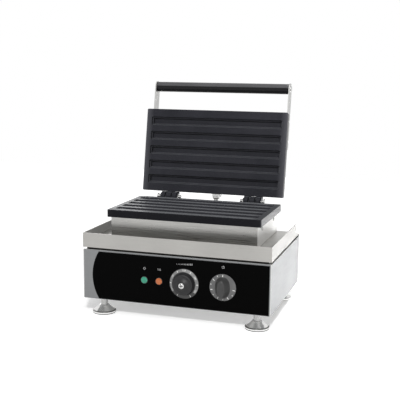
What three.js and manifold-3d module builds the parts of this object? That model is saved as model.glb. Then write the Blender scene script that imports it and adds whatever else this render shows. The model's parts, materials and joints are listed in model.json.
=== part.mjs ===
// Counter-top stick waffle iron with its lid open, in millimetres, +Z up.
// x runs across the machine, y from the front of the body to its back, z up from the counter.
// The last lines move the origin to the middle of the footprint.
import * as THREE from 'three';
import { mergeVertices } from 'three/addons/utils/BufferGeometryUtils.js';
import Module from 'manifold-3d';

const wasm = await Module();
wasm.setup();

// Clearances
const SEAT = 0.3; // between pieces that rest on each other
const RUNNING = 0.3; // around pins and spindles
const OVERRUN = 4; // how far a cutter passes the face that it cuts
const SAME_POINT = 1e-4; // corners closer than this are one corner

// Sheet steel body
const SHEET = 1.2;
const BODY_WIDTH = 400;
const BODY_DEPTH = 280;
const BODY_HEIGHT = 104.5;
const BODY_CORNER = 2.5;
const BODY_LIP = 12;
const REAR_FRAME = 14;
const VENT_COUNT = 12;
const VENT_WIDTH = 4;
const VENT_HEIGHT = 34;
const VENT_PITCH = 9;
const VENT_DROP = 14; // from the top of the rear panel to the vents
const WIRE_SLOT_WIDTH = 60;
const WIRE_SLOT_DEPTH = 16;

// Feet
const FOOT_HEIGHT = 36.5;
const FOOT_FROM_SIDE = 34;
const FOOT_FROM_FRONT = 30;
const CUP_RADIUS = 25;
const CUP_RIM = 2.6;
const CUP_HEIGHT = 16.5;
const CUP_NECK_RADIUS = 11.2;
const CUP_SOCKET = 9;
const CUP_WAIST_SHARE = 0.45;
const CUP_BEVEL = 1;
const POST_RADIUS = 7.4;
const STUD_RADIUS = 4;
const STUD_LENGTH = 9;
const WELD_NUT_RADIUS = 9;
const WELD_NUT_HEIGHT = 6;

// Front panel and its controls
const OVERLAY = 0.8;
const OVERLAY_TOP = 3.5;
const OVERLAY_BOTTOM = 1.2;
const OVERLAY_RIGHT = 4.2;
const OVERLAY_LEFT = 36;
const OVERLAY_BULGE = 14.2;
const CONTROL_HEIGHT = 50.5; // from the bottom of the body to the knobs and lamps
const POWER_LAMP_X = -62.8;
const HEATING_LAMP_X = -31.2;
const THERMOSTAT_X = 22.3;
const TIMER_X = 102.8;
const LAMP_RADIUS = 7.6;
const LAMP_RISE = 2.8;
const LENS_SHARES = [[1, 0], [1, 0.4], [0.86, 0.78], [0.5, 1], [0, 1]]; // of the radius and the rise
const LAMP_BARREL_RADIUS = 6;
const LAMP_BARREL_LENGTH = 24;
const SPINDLE_RADIUS = 3;
const SPINDLE_INSIDE = 12; // how far a spindle reaches behind the front wall
const KNOB_LIFT = 0.7; // air between the panel and a knob

// Thermostat knob
const DIAL_RADIUS = 30.8;
const DIAL_THICKNESS = 3.4;
const DIAL_BEVEL = 1.4;
const CAP_RADIUS = 23.5;
const CAP_TAPER = 2.2;
const CAP_HEIGHT = 10;
const CAP_EDGE = 1.2;
const CAP_GROOVE_RADIUS = 15;
const CAP_GROOVE = 0.8;
const CAP_BOSS_RADIUS = 7.4;
const CAP_CROWN = 3.4; // how far the boss stands over the rim
const KNOB_SCREW_RADIUS = 5.8;
const KNOB_SCREW_HEAD = 2.6;
const KNOB_SCREW_CORE = 2;
const KNOB_SCREW_LENGTH = 4;
const KNOB_SCREW_SLOT = 1.4;
const KNOB_WALL = 2.4; // of cap between the screw and the spindle

// Timer knob
const TIMER_RADIUS = 27.2;
const TIMER_DISC = 3.6;
const TIMER_BEVEL = 1.2;
const GRIP_BASE_WIDTH = 30;
const GRIP_BASE_LENGTH = 42;
const GRIP_TOP_WIDTH = 15;
const GRIP_TOP_LENGTH = 33;
const GRIP_RISE = 14.5;
const GRIP_CROWN = 1.6;

// Parts behind the front panel
const FLANGE = 2;
const THERMOSTAT_BODY_RADIUS = 20;
const THERMOSTAT_BODY_LENGTH = 30;
const THERMOSTAT_PLATE = 48;
const TIMER_BODY_SIZE = 50;
const TIMER_BODY_LENGTH = 38;
const TERMINAL_WIDTH = 64;
const TERMINAL_DEPTH = 22;
const TERMINAL_HEIGHT = 16;
const TERMINAL_BORE = 2.6;
const TERMINAL_COUNT = 5;
const TERMINAL_Y = 200;
const CORD_GLAND_FROM_SIDE = 50;
const CORD_GLAND_HEIGHT = 30; // above the bottom of the body
const CORD_GLAND_RADIUS = 9;
const CORD_GLAND_BORE = 5;
const CORD_GLAND_NUT_RADIUS = 13;
const CORD_GLAND_NUT = 5;
const CORD_GLAND_NOSE = 12;
const CORD_GLAND_TAIL = 10;

// Tray
const TRAY_GAP = 4;
const TRAY_INSET = 0.5; // from the sides and the back of the body
const TRAY_TAIL = 38.5;
const TRAY_WALL = 30;
const TRAY_FLOOR = 12; // from the lower edge of the walls up to the floor
const PLINTH_INSET = 6.5;

// Plates
const PLATE_WIDTH = 332;
const PLATE_DEPTH = 189.5;
const PLATE_THICKNESS = 16;
const PLATE_FRONT = 47; // behind the front of the body
const PLATE_GAP = 1; // between the two plates with the lid closed
const PLATE_CORNER = 3;
const POCKET_COUNT = 5;
const POCKET_PITCH = 33.5;
const POCKET_LENGTH = 308;
const POCKET_WIDTH = 19;
const POCKET_DEPTH = 9;
// Each level of a pocket: its share of the depth, and how far its walls have come in
const POCKET_SHARES = [[0, 0], [0.42, 0.1], [0.48, 0.3], [1, 0.42]];
const RIM_WALL = 6;
const RIM_DEPTH = 28;
const BOSS_RADIUS = 6;

// Pedestal, lid cover and their screws
const PEDESTAL_HEIGHT = 44.5;
const COVER_HEIGHT = 42;
const COVER_EDGE = 3;
const CASE_INSET_SIDE = 8;
const CASE_INSET_FRONT = 3;
const CASE_INSET_BACK = 1;
const PEDESTAL_FLANGE = 12;
const CASE_SCREW_DROP = 10.3; // from the back of the plate
const CASE_SCREW_FRONT = 42; // from the front edge of the plate
const CASE_SCREW_BACK = 39; // from the hinge edge of the plate
const SCREW_RADIUS = 2;
const SCREW_HEAD_RADIUS = 3.6;
const SCREW_HEAD = 2;
const SCREW_SLOT = 0.9;
const SCREW_GRIP = 4; // of shank past the sheet that it holds

// Heaters
const HEATER_RADIUS = 3.5;
const HEATER_RUNS = 4;
const HEATER_FROM_SIDE = 22;
const HEATER_FROM_FRONT = 30;
const WIRE_BAY = 26; // left free at the hinge side of each case
const INSULATION_GAP = 1;

// Hinges
const HINGE_OFFSET = 11.5; // from the back edge of the plates to the hinge axis
const HINGE_X = 103;
const KNUCKLE_RADIUS = 10;
const KNUCKLE_CENTRE = 14.4;
const KNUCKLE_SIDE = 12.8;
const KNUCKLE_GAP = 0.4;
const KNUCKLE_ROOT = 1.5; // how deep a knuckle starts inside its plate
const HEEL_LENGTH = 7;
const PIN_RADIUS = 4;
const PIN_HEAD_RADIUS = 6.4;
const PIN_HEAD = 3.2;
const PIN_TAIL = 13;
const NUT_RADIUS = 7.2;
const NUT_HEIGHT = 6;
const OPEN_ANGLE = 100.2; // degrees from closed to the open stop

// Handle
const HANDLE_REACH = 246.7; // from the hinge edge of the plate to the grip's middle
const HANDLE_RISE = 39; // from the baking face to the grip's middle
const ARM_THICKNESS = 2.4;
const ARM_WIDTH = 26;
const ARM_CORNER = 6;
const ARM_ROOT = 110; // from the hinge edge of the plate to the arm's lower end
const ARM_SCREW_FIRST = 20; // from the arm's lower end
const ARM_SCREW_PITCH = 45;
const GRIP_BAR_RADIUS = 11.5;
const GRIP_BAR_EDGE = 1;
const GRIP_BAR_BORE = 18;
const BOLT_RADIUS = 3;
const BOLT_HEAD_RADIUS = 6;
const BOLT_HEAD = 3;
const BOLT_REACH = 15; // into the grip

// Cable conduit from the pedestal to the lid
const CONDUIT_LOWER_X = 60;
const CONDUIT_UPPER_X = 4;
const CONDUIT_LOWER_DROP = 22; // from the back of the lower plate
const CONDUIT_UPPER_DROP = 17; // from the back of the upper plate
const CONDUIT_RADIUS = 6;
const CONDUIT_WALL = 1;
const CONDUIT_RIB = 0.7;
const CONDUIT_RIBS = 25;
const CONDUIT_POINTS = 8;
const CONDUIT_BORE_EVERY = 5;
const CONDUIT_PULL = 52; // how far each end draws the curve straight
const GLAND_NUT_RADIUS = 12.4;
const GLAND_NUT = 7;
const GLAND_NECK_RADIUS = 7.6;
const GLAND_NECK = 6;
const GLAND_THREAD_RADIUS = 6.8;
const GLAND_THREAD = 6;
const GLAND_BORE = 4.4;

// Facets
const ROUND = 16;
const FINE = 32;
const SMALL = 12;
const HEX = 6;
const ARC_STEPS = 6;
const CORNER_STEPS = 2;
const HEATER_STEPS = 48;
const HEATER_SIDES = 6;

// Places that follow from the sizes
const bodyTop = FOOT_HEIGHT + BODY_HEIGHT;
const cordGlandX = BODY_WIDTH / 2 - CORD_GLAND_FROM_SIDE;
const trayFloor = TRAY_GAP + TRAY_FLOOR; // above the body
const trayRear = BODY_DEPTH - TRAY_INSET;
const trayWallEnd = trayRear - TRAY_TAIL;
const overlayFront = -SEAT - OVERLAY;
const openAngle = THREE.MathUtils.degToRad(OPEN_ANGLE);
const hingeY = PLATE_FRONT + PLATE_DEPTH + HINGE_OFFSET;
const hingeZ = bodyTop + trayFloor + PEDESTAL_HEIGHT + PLATE_THICKNESS + PLATE_GAP / 2;

// Places in a plate's own frame: the hinge axis is the x axis, the front is at -y,
// and the baking face looks up. The lid holds the same frame turned over.
const faceZ = -PLATE_GAP / 2;
const backZ = faceZ - PLATE_THICKNESS;
const plateRear = -HINGE_OFFSET;
const plateFore = plateRear - PLATE_DEPTH;
const plateMiddle = (plateFore + plateRear) / 2;
const caseHalf = PLATE_WIDTH / 2 - CASE_INSET_SIDE;
const caseFore = plateFore + CASE_INSET_FRONT;
const caseRear = plateRear - CASE_INSET_BACK;
const rimHalf = caseHalf - SHEET - SEAT;
const rimFore = caseFore + SHEET + SEAT;
const rimRear = caseRear - SHEET - SEAT;
const heaterZ = backZ - SEAT - HEATER_RADIUS;
const shieldTop = heaterZ - HEATER_RADIUS - SEAT;
const shieldBottom = shieldTop - SHEET;
const bayFore = caseRear - SHEET - WIRE_BAY;
const armZ = faceZ - HANDLE_RISE;
const gripY = plateRear - HANDLE_REACH;
const armRootY = plateRear - ARM_ROOT;
const armIn = caseHalf + SEAT;
const armOut = armIn + ARM_THICKNESS;
const screwHole = SCREW_RADIUS + SEAT;
const pedestalScrewYs = [plateFore + CASE_SCREW_FRONT, plateRear - CASE_SCREW_BACK];
const pedestalScrewZ = backZ - CASE_SCREW_DROP;
const armScrewYs = [armRootY - ARM_SCREW_FIRST, armRootY - ARM_SCREW_FIRST - ARM_SCREW_PITCH];

// Finishes
const STEEL = { color: 0xc6c6c3, roughness: 0.32, metalness: 1 };
const POLISHED = { color: 0xd6d6d4, roughness: 0.1, metalness: 1 };
const CASTING = { color: 0x3a3a3f, roughness: 0.5, metalness: 0.3 };
const GLOSS_BLACK = { color: 0x060606, roughness: 0.1, metalness: 0 };
const DARK_PLASTIC = { color: 0x343434, roughness: 0.45, metalness: 0 };
const DIAL_GREY = { color: 0x8a8a8a, roughness: 0.4, metalness: 0.2 };
const TIMER_GREY = { color: 0x5a5a5a, roughness: 0.45, metalness: 0 };
const GRIP_BLACK = { color: 0x2c2c2d, roughness: 0.4, metalness: 0 };
const GREEN_LENS = { color: 0x3db08a, roughness: 0.25, metalness: 0 };
const ORANGE_LENS = { color: 0xd8804a, roughness: 0.25, metalness: 0 };
const HEATER_STEEL = { color: 0x5c5650, roughness: 0.6, metalness: 0.8 };
const WOOL = { color: 0xd9d0b4, roughness: 0.95, metalness: 0 };
const CERAMIC = { color: 0xe8e4da, roughness: 0.6, metalness: 0 };

// Turns a three.js geometry into a solid that can be cut and joined.
function solid(geometry) {
  const bare = geometry.index ? geometry.toNonIndexed() : geometry;
  bare.deleteAttribute('normal');
  bare.deleteAttribute('uv');
  const merged = mergeVertices(bare, SAME_POINT);
  const corners = merged.index.array;
  const places = merged.attributes.position.array;
  const kept = [];
  let volume = 0;
  for (let i = 0; i < corners.length; i += 3) {
    const [a, b, c] = corners.slice(i, i + 3);
    if (a === b || b === c || c === a) continue;
    kept.push(a, b, c);
    const [p, q, r] = [a, b, c].map((v) => new THREE.Vector3().fromArray(places, 3 * v));
    volume += p.dot(q.cross(r));
  }
  if (volume < 0) kept.reverse();
  const triVerts = Uint32Array.from(kept);
  const vertProperties = Float32Array.from(places);
  return new wasm.Manifold(new wasm.Mesh({ numProp: 3, vertProperties, triVerts }));
}

function joined(shapes) {
  return shapes.reduce((whole, next) => whole.add(next));
}

function cut(shape, cutters) {
  return cutters.reduce((left, cutter) => left.subtract(cutter), shape);
}

// Adds a finished piece to its group.
function piece(group, name, shape, finish) {
  const { vertProperties, triVerts } = shape.getMesh();
  const geometry = new THREE.BufferGeometry();
  geometry.setAttribute('position', new THREE.BufferAttribute(Float32Array.from(vertProperties), 3));
  geometry.setIndex(new THREE.BufferAttribute(Uint32Array.from(triVerts), 1));
  const material = new THREE.MeshStandardMaterial({ ...finish, flatShading: true });
  const mesh = new THREE.Mesh(geometry, material);
  mesh.name = name;
  group.add(mesh);
  return mesh;
}

function groupAt(parent, x, y, z) {
  const group = new THREE.Group();
  group.position.set(x, y, z);
  parent.add(group);
  return group;
}

function box([x0, y0, z0], [x1, y1, z1]) {
  const geometry = new THREE.BoxGeometry(x1 - x0, y1 - y0, z1 - z0);
  geometry.translate((x0 + x1) / 2, (y0 + y1) / 2, (z0 + z1) / 2);
  return solid(geometry);
}

// A round or many-sided bar between two points.
function rod(radius, from, to, sides = ROUND) {
  const start = new THREE.Vector3(...from);
  const along = new THREE.Vector3(...to).sub(start);
  const geometry = new THREE.CylinderGeometry(radius, radius, along.length(), sides);
  const upright = new THREE.Vector3(0, 1, 0);
  geometry.applyQuaternion(new THREE.Quaternion().setFromUnitVectors(upright, along.clone().normalize()));
  const middle = start.addScaledVector(along, 1 / 2);
  geometry.translate(middle.x, middle.y, middle.z);
  return solid(geometry);
}

// A bar along x that reaches the same way on both sides of the middle.
function crossRod(radius, half, y, z, sides = ROUND) {
  return rod(radius, [-half, y, z], [half, y, z], sides);
}

// A shape turned about z from its (radius, height) outline.
function turned(outline, sides = ROUND) {
  const points = outline.map(([radius, height]) => new THREE.Vector2(radius, height));
  const geometry = new THREE.LatheGeometry([...points, points[0]], sides);
  geometry.rotateX(Math.PI / 2);
  return solid(geometry);
}

function flatShape(points) {
  return new THREE.Shape(points.map(([x, y]) => new THREE.Vector2(x, y)));
}

// A flat outline in x and y, given height along z.
function upright(shape, z0, z1) {
  const settings = { depth: z1 - z0, bevelEnabled: false, curveSegments: CORNER_STEPS };
  const geometry = new THREE.ExtrudeGeometry(shape, settings);
  geometry.translate(0, 0, z0);
  return solid(geometry);
}

// A side view in y and z, run across from x0 to x1.
function sideways(shape, x0, x1) {
  const settings = { depth: x1 - x0, bevelEnabled: false, curveSegments: ARC_STEPS };
  const geometry = new THREE.ExtrudeGeometry(shape, settings);
  const acrossAxis = new THREE.Vector3(1, 0, 0);
  const depthAxis = new THREE.Vector3(0, 1, 0);
  const heightAxis = new THREE.Vector3(0, 0, 1);
  geometry.applyMatrix4(new THREE.Matrix4().makeBasis(depthAxis, heightAxis, acrossAxis));
  geometry.translate(x0, 0, 0);
  return solid(geometry);
}

function roundedRectangle(x0, x1, y0, y1, radius) {
  const shape = new THREE.Shape();
  shape.absarc(x1 - radius, y0 + radius, radius, -Math.PI / 2, 0);
  shape.absarc(x1 - radius, y1 - radius, radius, 0, Math.PI / 2);
  shape.absarc(x0 + radius, y1 - radius, radius, Math.PI / 2, Math.PI);
  shape.absarc(x0 + radius, y0 + radius, radius, Math.PI, (3 * Math.PI) / 2);
  return shape;
}

// A closed skin over a stack of convex rings that all have the same number of points.
function loft(rings) {
  const count = rings[0].length;
  const last = (rings.length - 1) * count;
  const index = [];
  for (let start = 0; start < last; start += count) {
    for (let i = 0; i < count; i++) {
      const next = (i + 1) % count;
      index.push(start + i, start + next, start + count + i);
      index.push(start + next, start + count + next, start + count + i);
    }
  }
  for (let i = 1; i < count - 1; i++) {
    index.push(0, i + 1, i);
    index.push(last, last + i, last + i + 1);
  }
  const geometry = new THREE.BufferGeometry();
  geometry.setAttribute('position', new THREE.Float32BufferAttribute(rings.flat(2), 3));
  geometry.setIndex(index);
  return solid(geometry);
}

function rectangleRing(halfX, halfY, y, z) {
  return [[-halfX, y - halfY, z], [halfX, y - halfY, z], [halfX, y + halfY, z], [-halfX, y + halfY, z]];
}

function ovalRing(halfX, halfY, z) {
  const ring = [];
  for (let i = 0; i < ROUND; i++) {
    const angle = (2 * Math.PI * i) / ROUND;
    ring.push([halfX * Math.cos(angle), halfY * Math.sin(angle), z]);
  }
  return ring;
}

// A slotted screw that points down from its head's seat at z = 0.
function screw(shank, length, head, height) {
  const whole = turned([
    [0, -length],
    [shank, -length],
    [shank, 0],
    [head, 0],
    [head, height / 2],
    [head / 2, height],
    [0, height],
  ], SMALL);
  const half = SCREW_SLOT / 2;
  return whole.subtract(box([-head, -half, height / 2], [head, half, height + OVERRUN]));
}

// Pieces of the body. Their z is measured from its bottom.

function panelHole(x, radius) {
  return rod(radius, [x, -OVERRUN, CONTROL_HEIGHT], [x, OVERRUN, CONTROL_HEIGHT]);
}

function panelHoles() {
  return [
    panelHole(POWER_LAMP_X, LAMP_BARREL_RADIUS + SEAT),
    panelHole(HEATING_LAMP_X, LAMP_BARREL_RADIUS + SEAT),
    panelHole(THERMOSTAT_X, SPINDLE_RADIUS + RUNNING),
    panelHole(TIMER_X, SPINDLE_RADIUS + RUNNING),
  ];
}

// The opening for wires under the hinge end of the pedestal.
function wireSlot(z0, z1) {
  const rear = hingeY + caseRear - SHEET - (WIRE_BAY - WIRE_SLOT_DEPTH) / 2;
  const half = WIRE_SLOT_WIDTH / 2;
  return box([-half, rear - WIRE_SLOT_DEPTH, z0], [half, rear, z1]);
}

function bodyShell() {
  const half = BODY_WIDTH / 2;
  const inside = half - SHEET;
  const back = BODY_DEPTH - SHEET;
  const outer = upright(roundedRectangle(-half, half, 0, BODY_DEPTH, BODY_CORNER), 0, BODY_HEIGHT);
  const innerOutline = roundedRectangle(-inside, inside, SHEET, back, BODY_CORNER - SHEET);
  const hollow = upright(innerOutline, SHEET, BODY_HEIGHT - SHEET);
  const lip = half - BODY_LIP;
  const bottom = box([-lip, BODY_LIP, -OVERRUN], [lip, BODY_DEPTH - BODY_LIP, SHEET + OVERRUN]);
  const frame = half - REAR_FRAME;
  const rearTop = [frame, BODY_DEPTH + OVERRUN, BODY_HEIGHT - REAR_FRAME];
  const rear = box([-frame, back - OVERRUN, REAR_FRAME], rearTop);
  const slot = wireSlot(BODY_HEIGHT - SHEET - OVERRUN, BODY_HEIGHT + OVERRUN);
  return cut(outer, [hollow, bottom, rear, slot, ...panelHoles()]);
}

function footPlaces() {
  const x = BODY_WIDTH / 2 - FOOT_FROM_SIDE;
  const back = BODY_DEPTH - FOOT_FROM_FRONT;
  return [
    ['front_left', -x, FOOT_FROM_FRONT],
    ['front_right', x, FOOT_FROM_FRONT],
    ['back_left', -x, back],
    ['back_right', x, back],
  ];
}

const floorBottom = SHEET + SEAT;
const floorTop = floorBottom + SHEET;

// The bottom plate, with a nut welded over each foot.
function basePlate() {
  const x = BODY_WIDTH / 2 - SHEET - SEAT;
  const outline = roundedRectangle(-x, x, SHEET + SEAT, BODY_DEPTH - SHEET - SEAT, BODY_CORNER);
  const plate = upright(outline, floorBottom, floorTop);
  const nutTop = floorTop + WELD_NUT_HEIGHT;
  const nuts = footPlaces().map(([, footX, footY]) => {
    return rod(WELD_NUT_RADIUS, [footX, footY, floorBottom], [footX, footY, nutTop], HEX);
  });
  const holes = footPlaces().map(([, footX, footY]) => {
    return rod(STUD_RADIUS + SEAT, [footX, footY, -OVERRUN], [footX, footY, nutTop + OVERRUN], SMALL);
  });
  return cut(joined([plate, ...nuts]), holes);
}

const rearFace = BODY_DEPTH - SHEET - SEAT;

function rearPanel() {
  const x = BODY_WIDTH / 2 - BODY_CORNER - SEAT;
  const top = BODY_HEIGHT - SHEET - SEAT;
  const [inner, outer] = [rearFace - SHEET - OVERRUN, rearFace + OVERRUN];
  const panel = box([-x, rearFace - SHEET, floorTop + SEAT], [x, rearFace, top]);
  const openings = [];
  for (let i = 0; i < VENT_COUNT; i++) {
    const ventX = (i - (VENT_COUNT - 1) / 2) * VENT_PITCH - VENT_WIDTH / 2;
    const ventTop = top - VENT_DROP;
    openings.push(box([ventX, inner, ventTop - VENT_HEIGHT], [ventX + VENT_WIDTH, outer, ventTop]));
  }
  const [from, to] = [[cordGlandX, inner, CORD_GLAND_HEIGHT], [cordGlandX, outer, CORD_GLAND_HEIGHT]];
  openings.push(rod(CORD_GLAND_RADIUS + SEAT, from, to));
  return cut(panel, openings);
}

// The cord gland, with the panel's outer face at z = 0.
function cordGland() {
  const tail = -SHEET - CORD_GLAND_TAIL;
  const nut = turned([
    [0, SEAT],
    [CORD_GLAND_NUT_RADIUS, SEAT],
    [CORD_GLAND_NUT_RADIUS, CORD_GLAND_NUT],
    [0, CORD_GLAND_NUT],
  ], HEX);
  const stem = turned([
    [0, tail],
    [CORD_GLAND_RADIUS, tail],
    [CORD_GLAND_RADIUS, CORD_GLAND_NOSE - FLANGE],
    [CORD_GLAND_RADIUS - FLANGE, CORD_GLAND_NOSE],
    [0, CORD_GLAND_NOSE],
  ]);
  const bore = rod(CORD_GLAND_BORE, [0, 0, tail - OVERRUN], [0, 0, CORD_GLAND_NOSE + OVERRUN]);
  return nut.add(stem).subtract(bore);
}

// The black panel: straight on three sides, with one bulging arc on the left.
function frontOverlay() {
  const right = BODY_WIDTH / 2 - OVERLAY_RIGHT;
  const left = OVERLAY_LEFT - BODY_WIDTH / 2;
  const top = BODY_HEIGHT - OVERLAY_TOP;
  const halfChord = (top - OVERLAY_BOTTOM) / 2;
  const radius = (halfChord ** 2 + OVERLAY_BULGE ** 2) / (2 * OVERLAY_BULGE);
  const spread = Math.asin(halfChord / radius);
  const shape = new THREE.Shape();
  shape.moveTo(right, OVERLAY_BOTTOM);
  shape.lineTo(right, top);
  shape.lineTo(left, top);
  const [arcX, arcZ] = [left - OVERLAY_BULGE + radius, OVERLAY_BOTTOM + halfChord];
  shape.absarc(arcX, arcZ, radius, Math.PI - spread, Math.PI + spread);
  const settings = { depth: OVERLAY, bevelEnabled: false, curveSegments: ARC_STEPS };
  const geometry = new THREE.ExtrudeGeometry(shape, settings);
  geometry.rotateX(Math.PI / 2);
  geometry.translate(0, -SEAT, 0);
  return cut(solid(geometry), panelHoles());
}

function terminalBlock() {
  const [x, y] = [TERMINAL_WIDTH / 2, TERMINAL_DEPTH / 2];
  const bores = [];
  for (let i = 0; i < TERMINAL_COUNT; i++) {
    const boreX = ((i - (TERMINAL_COUNT - 1) / 2) * TERMINAL_WIDTH) / TERMINAL_COUNT;
    const boreTop = [boreX, 0, TERMINAL_HEIGHT + OVERRUN];
    bores.push(rod(TERMINAL_BORE, [boreX, 0, TERMINAL_HEIGHT / 2], boreTop, HEX));
  }
  return cut(box([-x, -y, 0], [x, y, TERMINAL_HEIGHT]), bores);
}

// Pieces on the front panel. Their z points out of it, from its face.

const wallBack = overlayFront - SHEET; // the inside of the body's front wall

// A snap-in lamp: lens, barrel and the ring that holds it behind the wall.
function lamp() {
  const catchFace = wallBack - SEAT;
  const back = catchFace - LAMP_BARREL_LENGTH;
  const lens = LENS_SHARES.map(([across, out]) => [across * LAMP_RADIUS, SEAT + out * LAMP_RISE]);
  return turned([
    [0, back],
    [LAMP_BARREL_RADIUS, back],
    [LAMP_BARREL_RADIUS, catchFace - FLANGE],
    [LAMP_RADIUS, catchFace - FLANGE],
    [LAMP_RADIUS, catchFace],
    [LAMP_BARREL_RADIUS, catchFace],
    [LAMP_BARREL_RADIUS, SEAT],
    ...lens,
  ]);
}

function spindle(end) {
  return rod(SPINDLE_RADIUS, [0, 0, wallBack - SPINDLE_INSIDE], [0, 0, end]);
}

function spindleSocket() {
  return rod(SPINDLE_RADIUS + RUNNING, [0, 0, wallBack - SPINDLE_INSIDE - SEAT], [0, 0, OVERRUN]);
}

function thermostatBody() {
  const face = wallBack - SEAT;
  const half = THERMOSTAT_PLATE / 2;
  const plate = box([-half, -half, face - FLANGE], [half, half, face]);
  const can = rod(THERMOSTAT_BODY_RADIUS, [0, 0, face - THERMOSTAT_BODY_LENGTH], [0, 0, face - FLANGE / 2]);
  return plate.add(can).subtract(spindleSocket());
}

function timerBody() {
  const face = wallBack - SEAT;
  const half = TIMER_BODY_SIZE / 2;
  const outline = roundedRectangle(-half, half, -half, half, FLANGE);
  return upright(outline, face - TIMER_BODY_LENGTH, face).subtract(spindleSocket());
}

const dialTop = KNOB_LIFT + DIAL_THICKNESS;
const capBase = dialTop + SEAT;
const capRim = capBase + CAP_HEIGHT;
const capTop = capRim + CAP_CROWN;
const capBoreEnd = capTop - SEAT - KNOB_SCREW_LENGTH - KNOB_WALL;

function thermostatDial() {
  const bore = SPINDLE_RADIUS + RUNNING;
  return turned([
    [bore, KNOB_LIFT],
    [DIAL_RADIUS, KNOB_LIFT],
    [DIAL_RADIUS, dialTop - DIAL_BEVEL],
    [DIAL_RADIUS - DIAL_BEVEL, dialTop],
    [bore, dialTop],
  ], FINE);
}

function thermostatCap() {
  const shoulder = CAP_RADIUS - CAP_TAPER;
  const core = KNOB_SCREW_CORE + SEAT;
  const coreEnd = capTop - SEAT - KNOB_SCREW_LENGTH;
  const bore = SPINDLE_RADIUS + RUNNING;
  return turned([
    [bore, capBase],
    [CAP_RADIUS, capBase],
    [shoulder, capRim - CAP_EDGE],
    [shoulder - CAP_EDGE / 3, capRim - CAP_EDGE / 3],
    [shoulder - CAP_EDGE, capRim],
    [CAP_GROOVE_RADIUS, capRim - CAP_GROOVE],
    [CAP_BOSS_RADIUS, capTop],
    [core, capTop],
    [core, coreEnd],
    [0, coreEnd],
    [0, capBoreEnd],
    [bore, capBoreEnd],
  ], FINE);
}

function thermostatScrew() {
  const seat = capTop + SEAT;
  const middle = seat + KNOB_SCREW_HEAD / 2;
  const top = seat + KNOB_SCREW_HEAD;
  const [head, half] = [KNOB_SCREW_RADIUS, KNOB_SCREW_SLOT / 2];
  const whole = turned([
    [0, seat - KNOB_SCREW_LENGTH],
    [KNOB_SCREW_CORE, seat - KNOB_SCREW_LENGTH],
    [KNOB_SCREW_CORE, seat],
    [head, seat],
    [head, middle],
    [head / 2, top],
    [0, top],
  ]);
  const across = box([-head / 2, -half, middle], [head / 2, half, top + OVERRUN]);
  const along = box([-half, -head / 2, middle], [half, head / 2, top + OVERRUN]);
  return cut(whole, [across, along]);
}

const timerTop = KNOB_LIFT + TIMER_DISC;
const timerBoreEnd = timerTop + GRIP_RISE / 2;

function timerKnob() {
  const disc = turned([
    [0, KNOB_LIFT],
    [TIMER_RADIUS, KNOB_LIFT],
    [TIMER_RADIUS, timerTop - TIMER_BEVEL],
    [TIMER_RADIUS - TIMER_BEVEL, timerTop],
    [0, timerTop],
  ], FINE);
  const ridge = timerTop + GRIP_RISE;
  const [baseX, baseY] = [GRIP_BASE_WIDTH / 2, GRIP_BASE_LENGTH / 2];
  const [topX, topY] = [GRIP_TOP_WIDTH / 2, GRIP_TOP_LENGTH / 2];
  const grip = loft([
    ovalRing(baseX, baseY, timerTop - TIMER_BEVEL),
    ovalRing(baseX, baseY, timerTop),
    ovalRing(topX, topY, ridge - GRIP_CROWN),
    ovalRing(topX - GRIP_CROWN, topY - GRIP_CROWN, ridge),
  ]);
  const bore = rod(SPINDLE_RADIUS + RUNNING, [0, 0, KNOB_LIFT - OVERRUN], [0, 0, timerBoreEnd]);
  return disc.add(grip).subtract(bore);
}

// Feet, measured from the counter.

function footCup() {
  const socket = POST_RADIUS + SEAT;
  const floor = CUP_HEIGHT - CUP_SOCKET;
  const waist = CUP_NECK_RADIUS + (CUP_RADIUS - CUP_NECK_RADIUS) * CUP_WAIST_SHARE;
  return turned([
    [0, 0],
    [CUP_RADIUS, 0],
    [CUP_RADIUS, CUP_RIM],
    [waist, CUP_RIM + (CUP_HEIGHT - CUP_RIM) * CUP_WAIST_SHARE],
    [CUP_NECK_RADIUS, CUP_HEIGHT - CUP_BEVEL],
    [CUP_NECK_RADIUS - CUP_BEVEL, CUP_HEIGHT],
    [socket, CUP_HEIGHT],
    [socket, floor],
    [0, floor],
  ]);
}

function footPost() {
  const low = CUP_HEIGHT - CUP_SOCKET + SEAT;
  const shoulder = FOOT_HEIGHT + floorBottom - SEAT;
  const top = shoulder + STUD_LENGTH;
  return turned([
    [0, low],
    [POST_RADIUS, low],
    [POST_RADIUS, shoulder],
    [STUD_RADIUS, shoulder],
    [STUD_RADIUS, top],
    [0, top],
  ], SMALL);
}

// Tray pieces. Their z is measured from the top of the body.

function trayPlinth() {
  const x = BODY_WIDTH / 2 - PLINTH_INSET;
  const inside = x - SHEET;
  const back = trayWallEnd - PLINTH_INSET;
  const top = trayFloor - SHEET - SEAT;
  const outer = box([-x, PLINTH_INSET, SEAT], [x, back, top]);
  const innerFront = [-inside, PLINTH_INSET + SHEET, SEAT - OVERRUN];
  return outer.subtract(box(innerFront, [inside, back - SHEET, top + OVERRUN]));
}

function dripTray() {
  const half = BODY_WIDTH / 2 - TRAY_INSET;
  const inside = half - SHEET;
  const rim = TRAY_GAP + TRAY_WALL;
  const lip = trayRear - SHEET;
  const block = flatShape([
    [0, TRAY_GAP],
    [lip, TRAY_GAP],
    [lip, SEAT],
    [trayRear, SEAT],
    [trayRear, TRAY_GAP + SHEET],
    [trayWallEnd, trayFloor],
    [trayWallEnd, rim],
    [0, rim],
  ]);
  const under = flatShape([
    [SHEET, TRAY_GAP - OVERRUN],
    [trayWallEnd, TRAY_GAP - OVERRUN],
    [lip, TRAY_GAP],
    [trayWallEnd, trayFloor - SHEET],
    [SHEET, trayFloor - SHEET],
  ]);
  const above = box([-inside, SHEET, trayFloor], [inside, trayRear + OVERRUN, rim + OVERRUN]);
  return cut(sideways(block, -half, half), [above, sideways(under, -inside, inside), wireSlot(0, rim)]);
}

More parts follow.
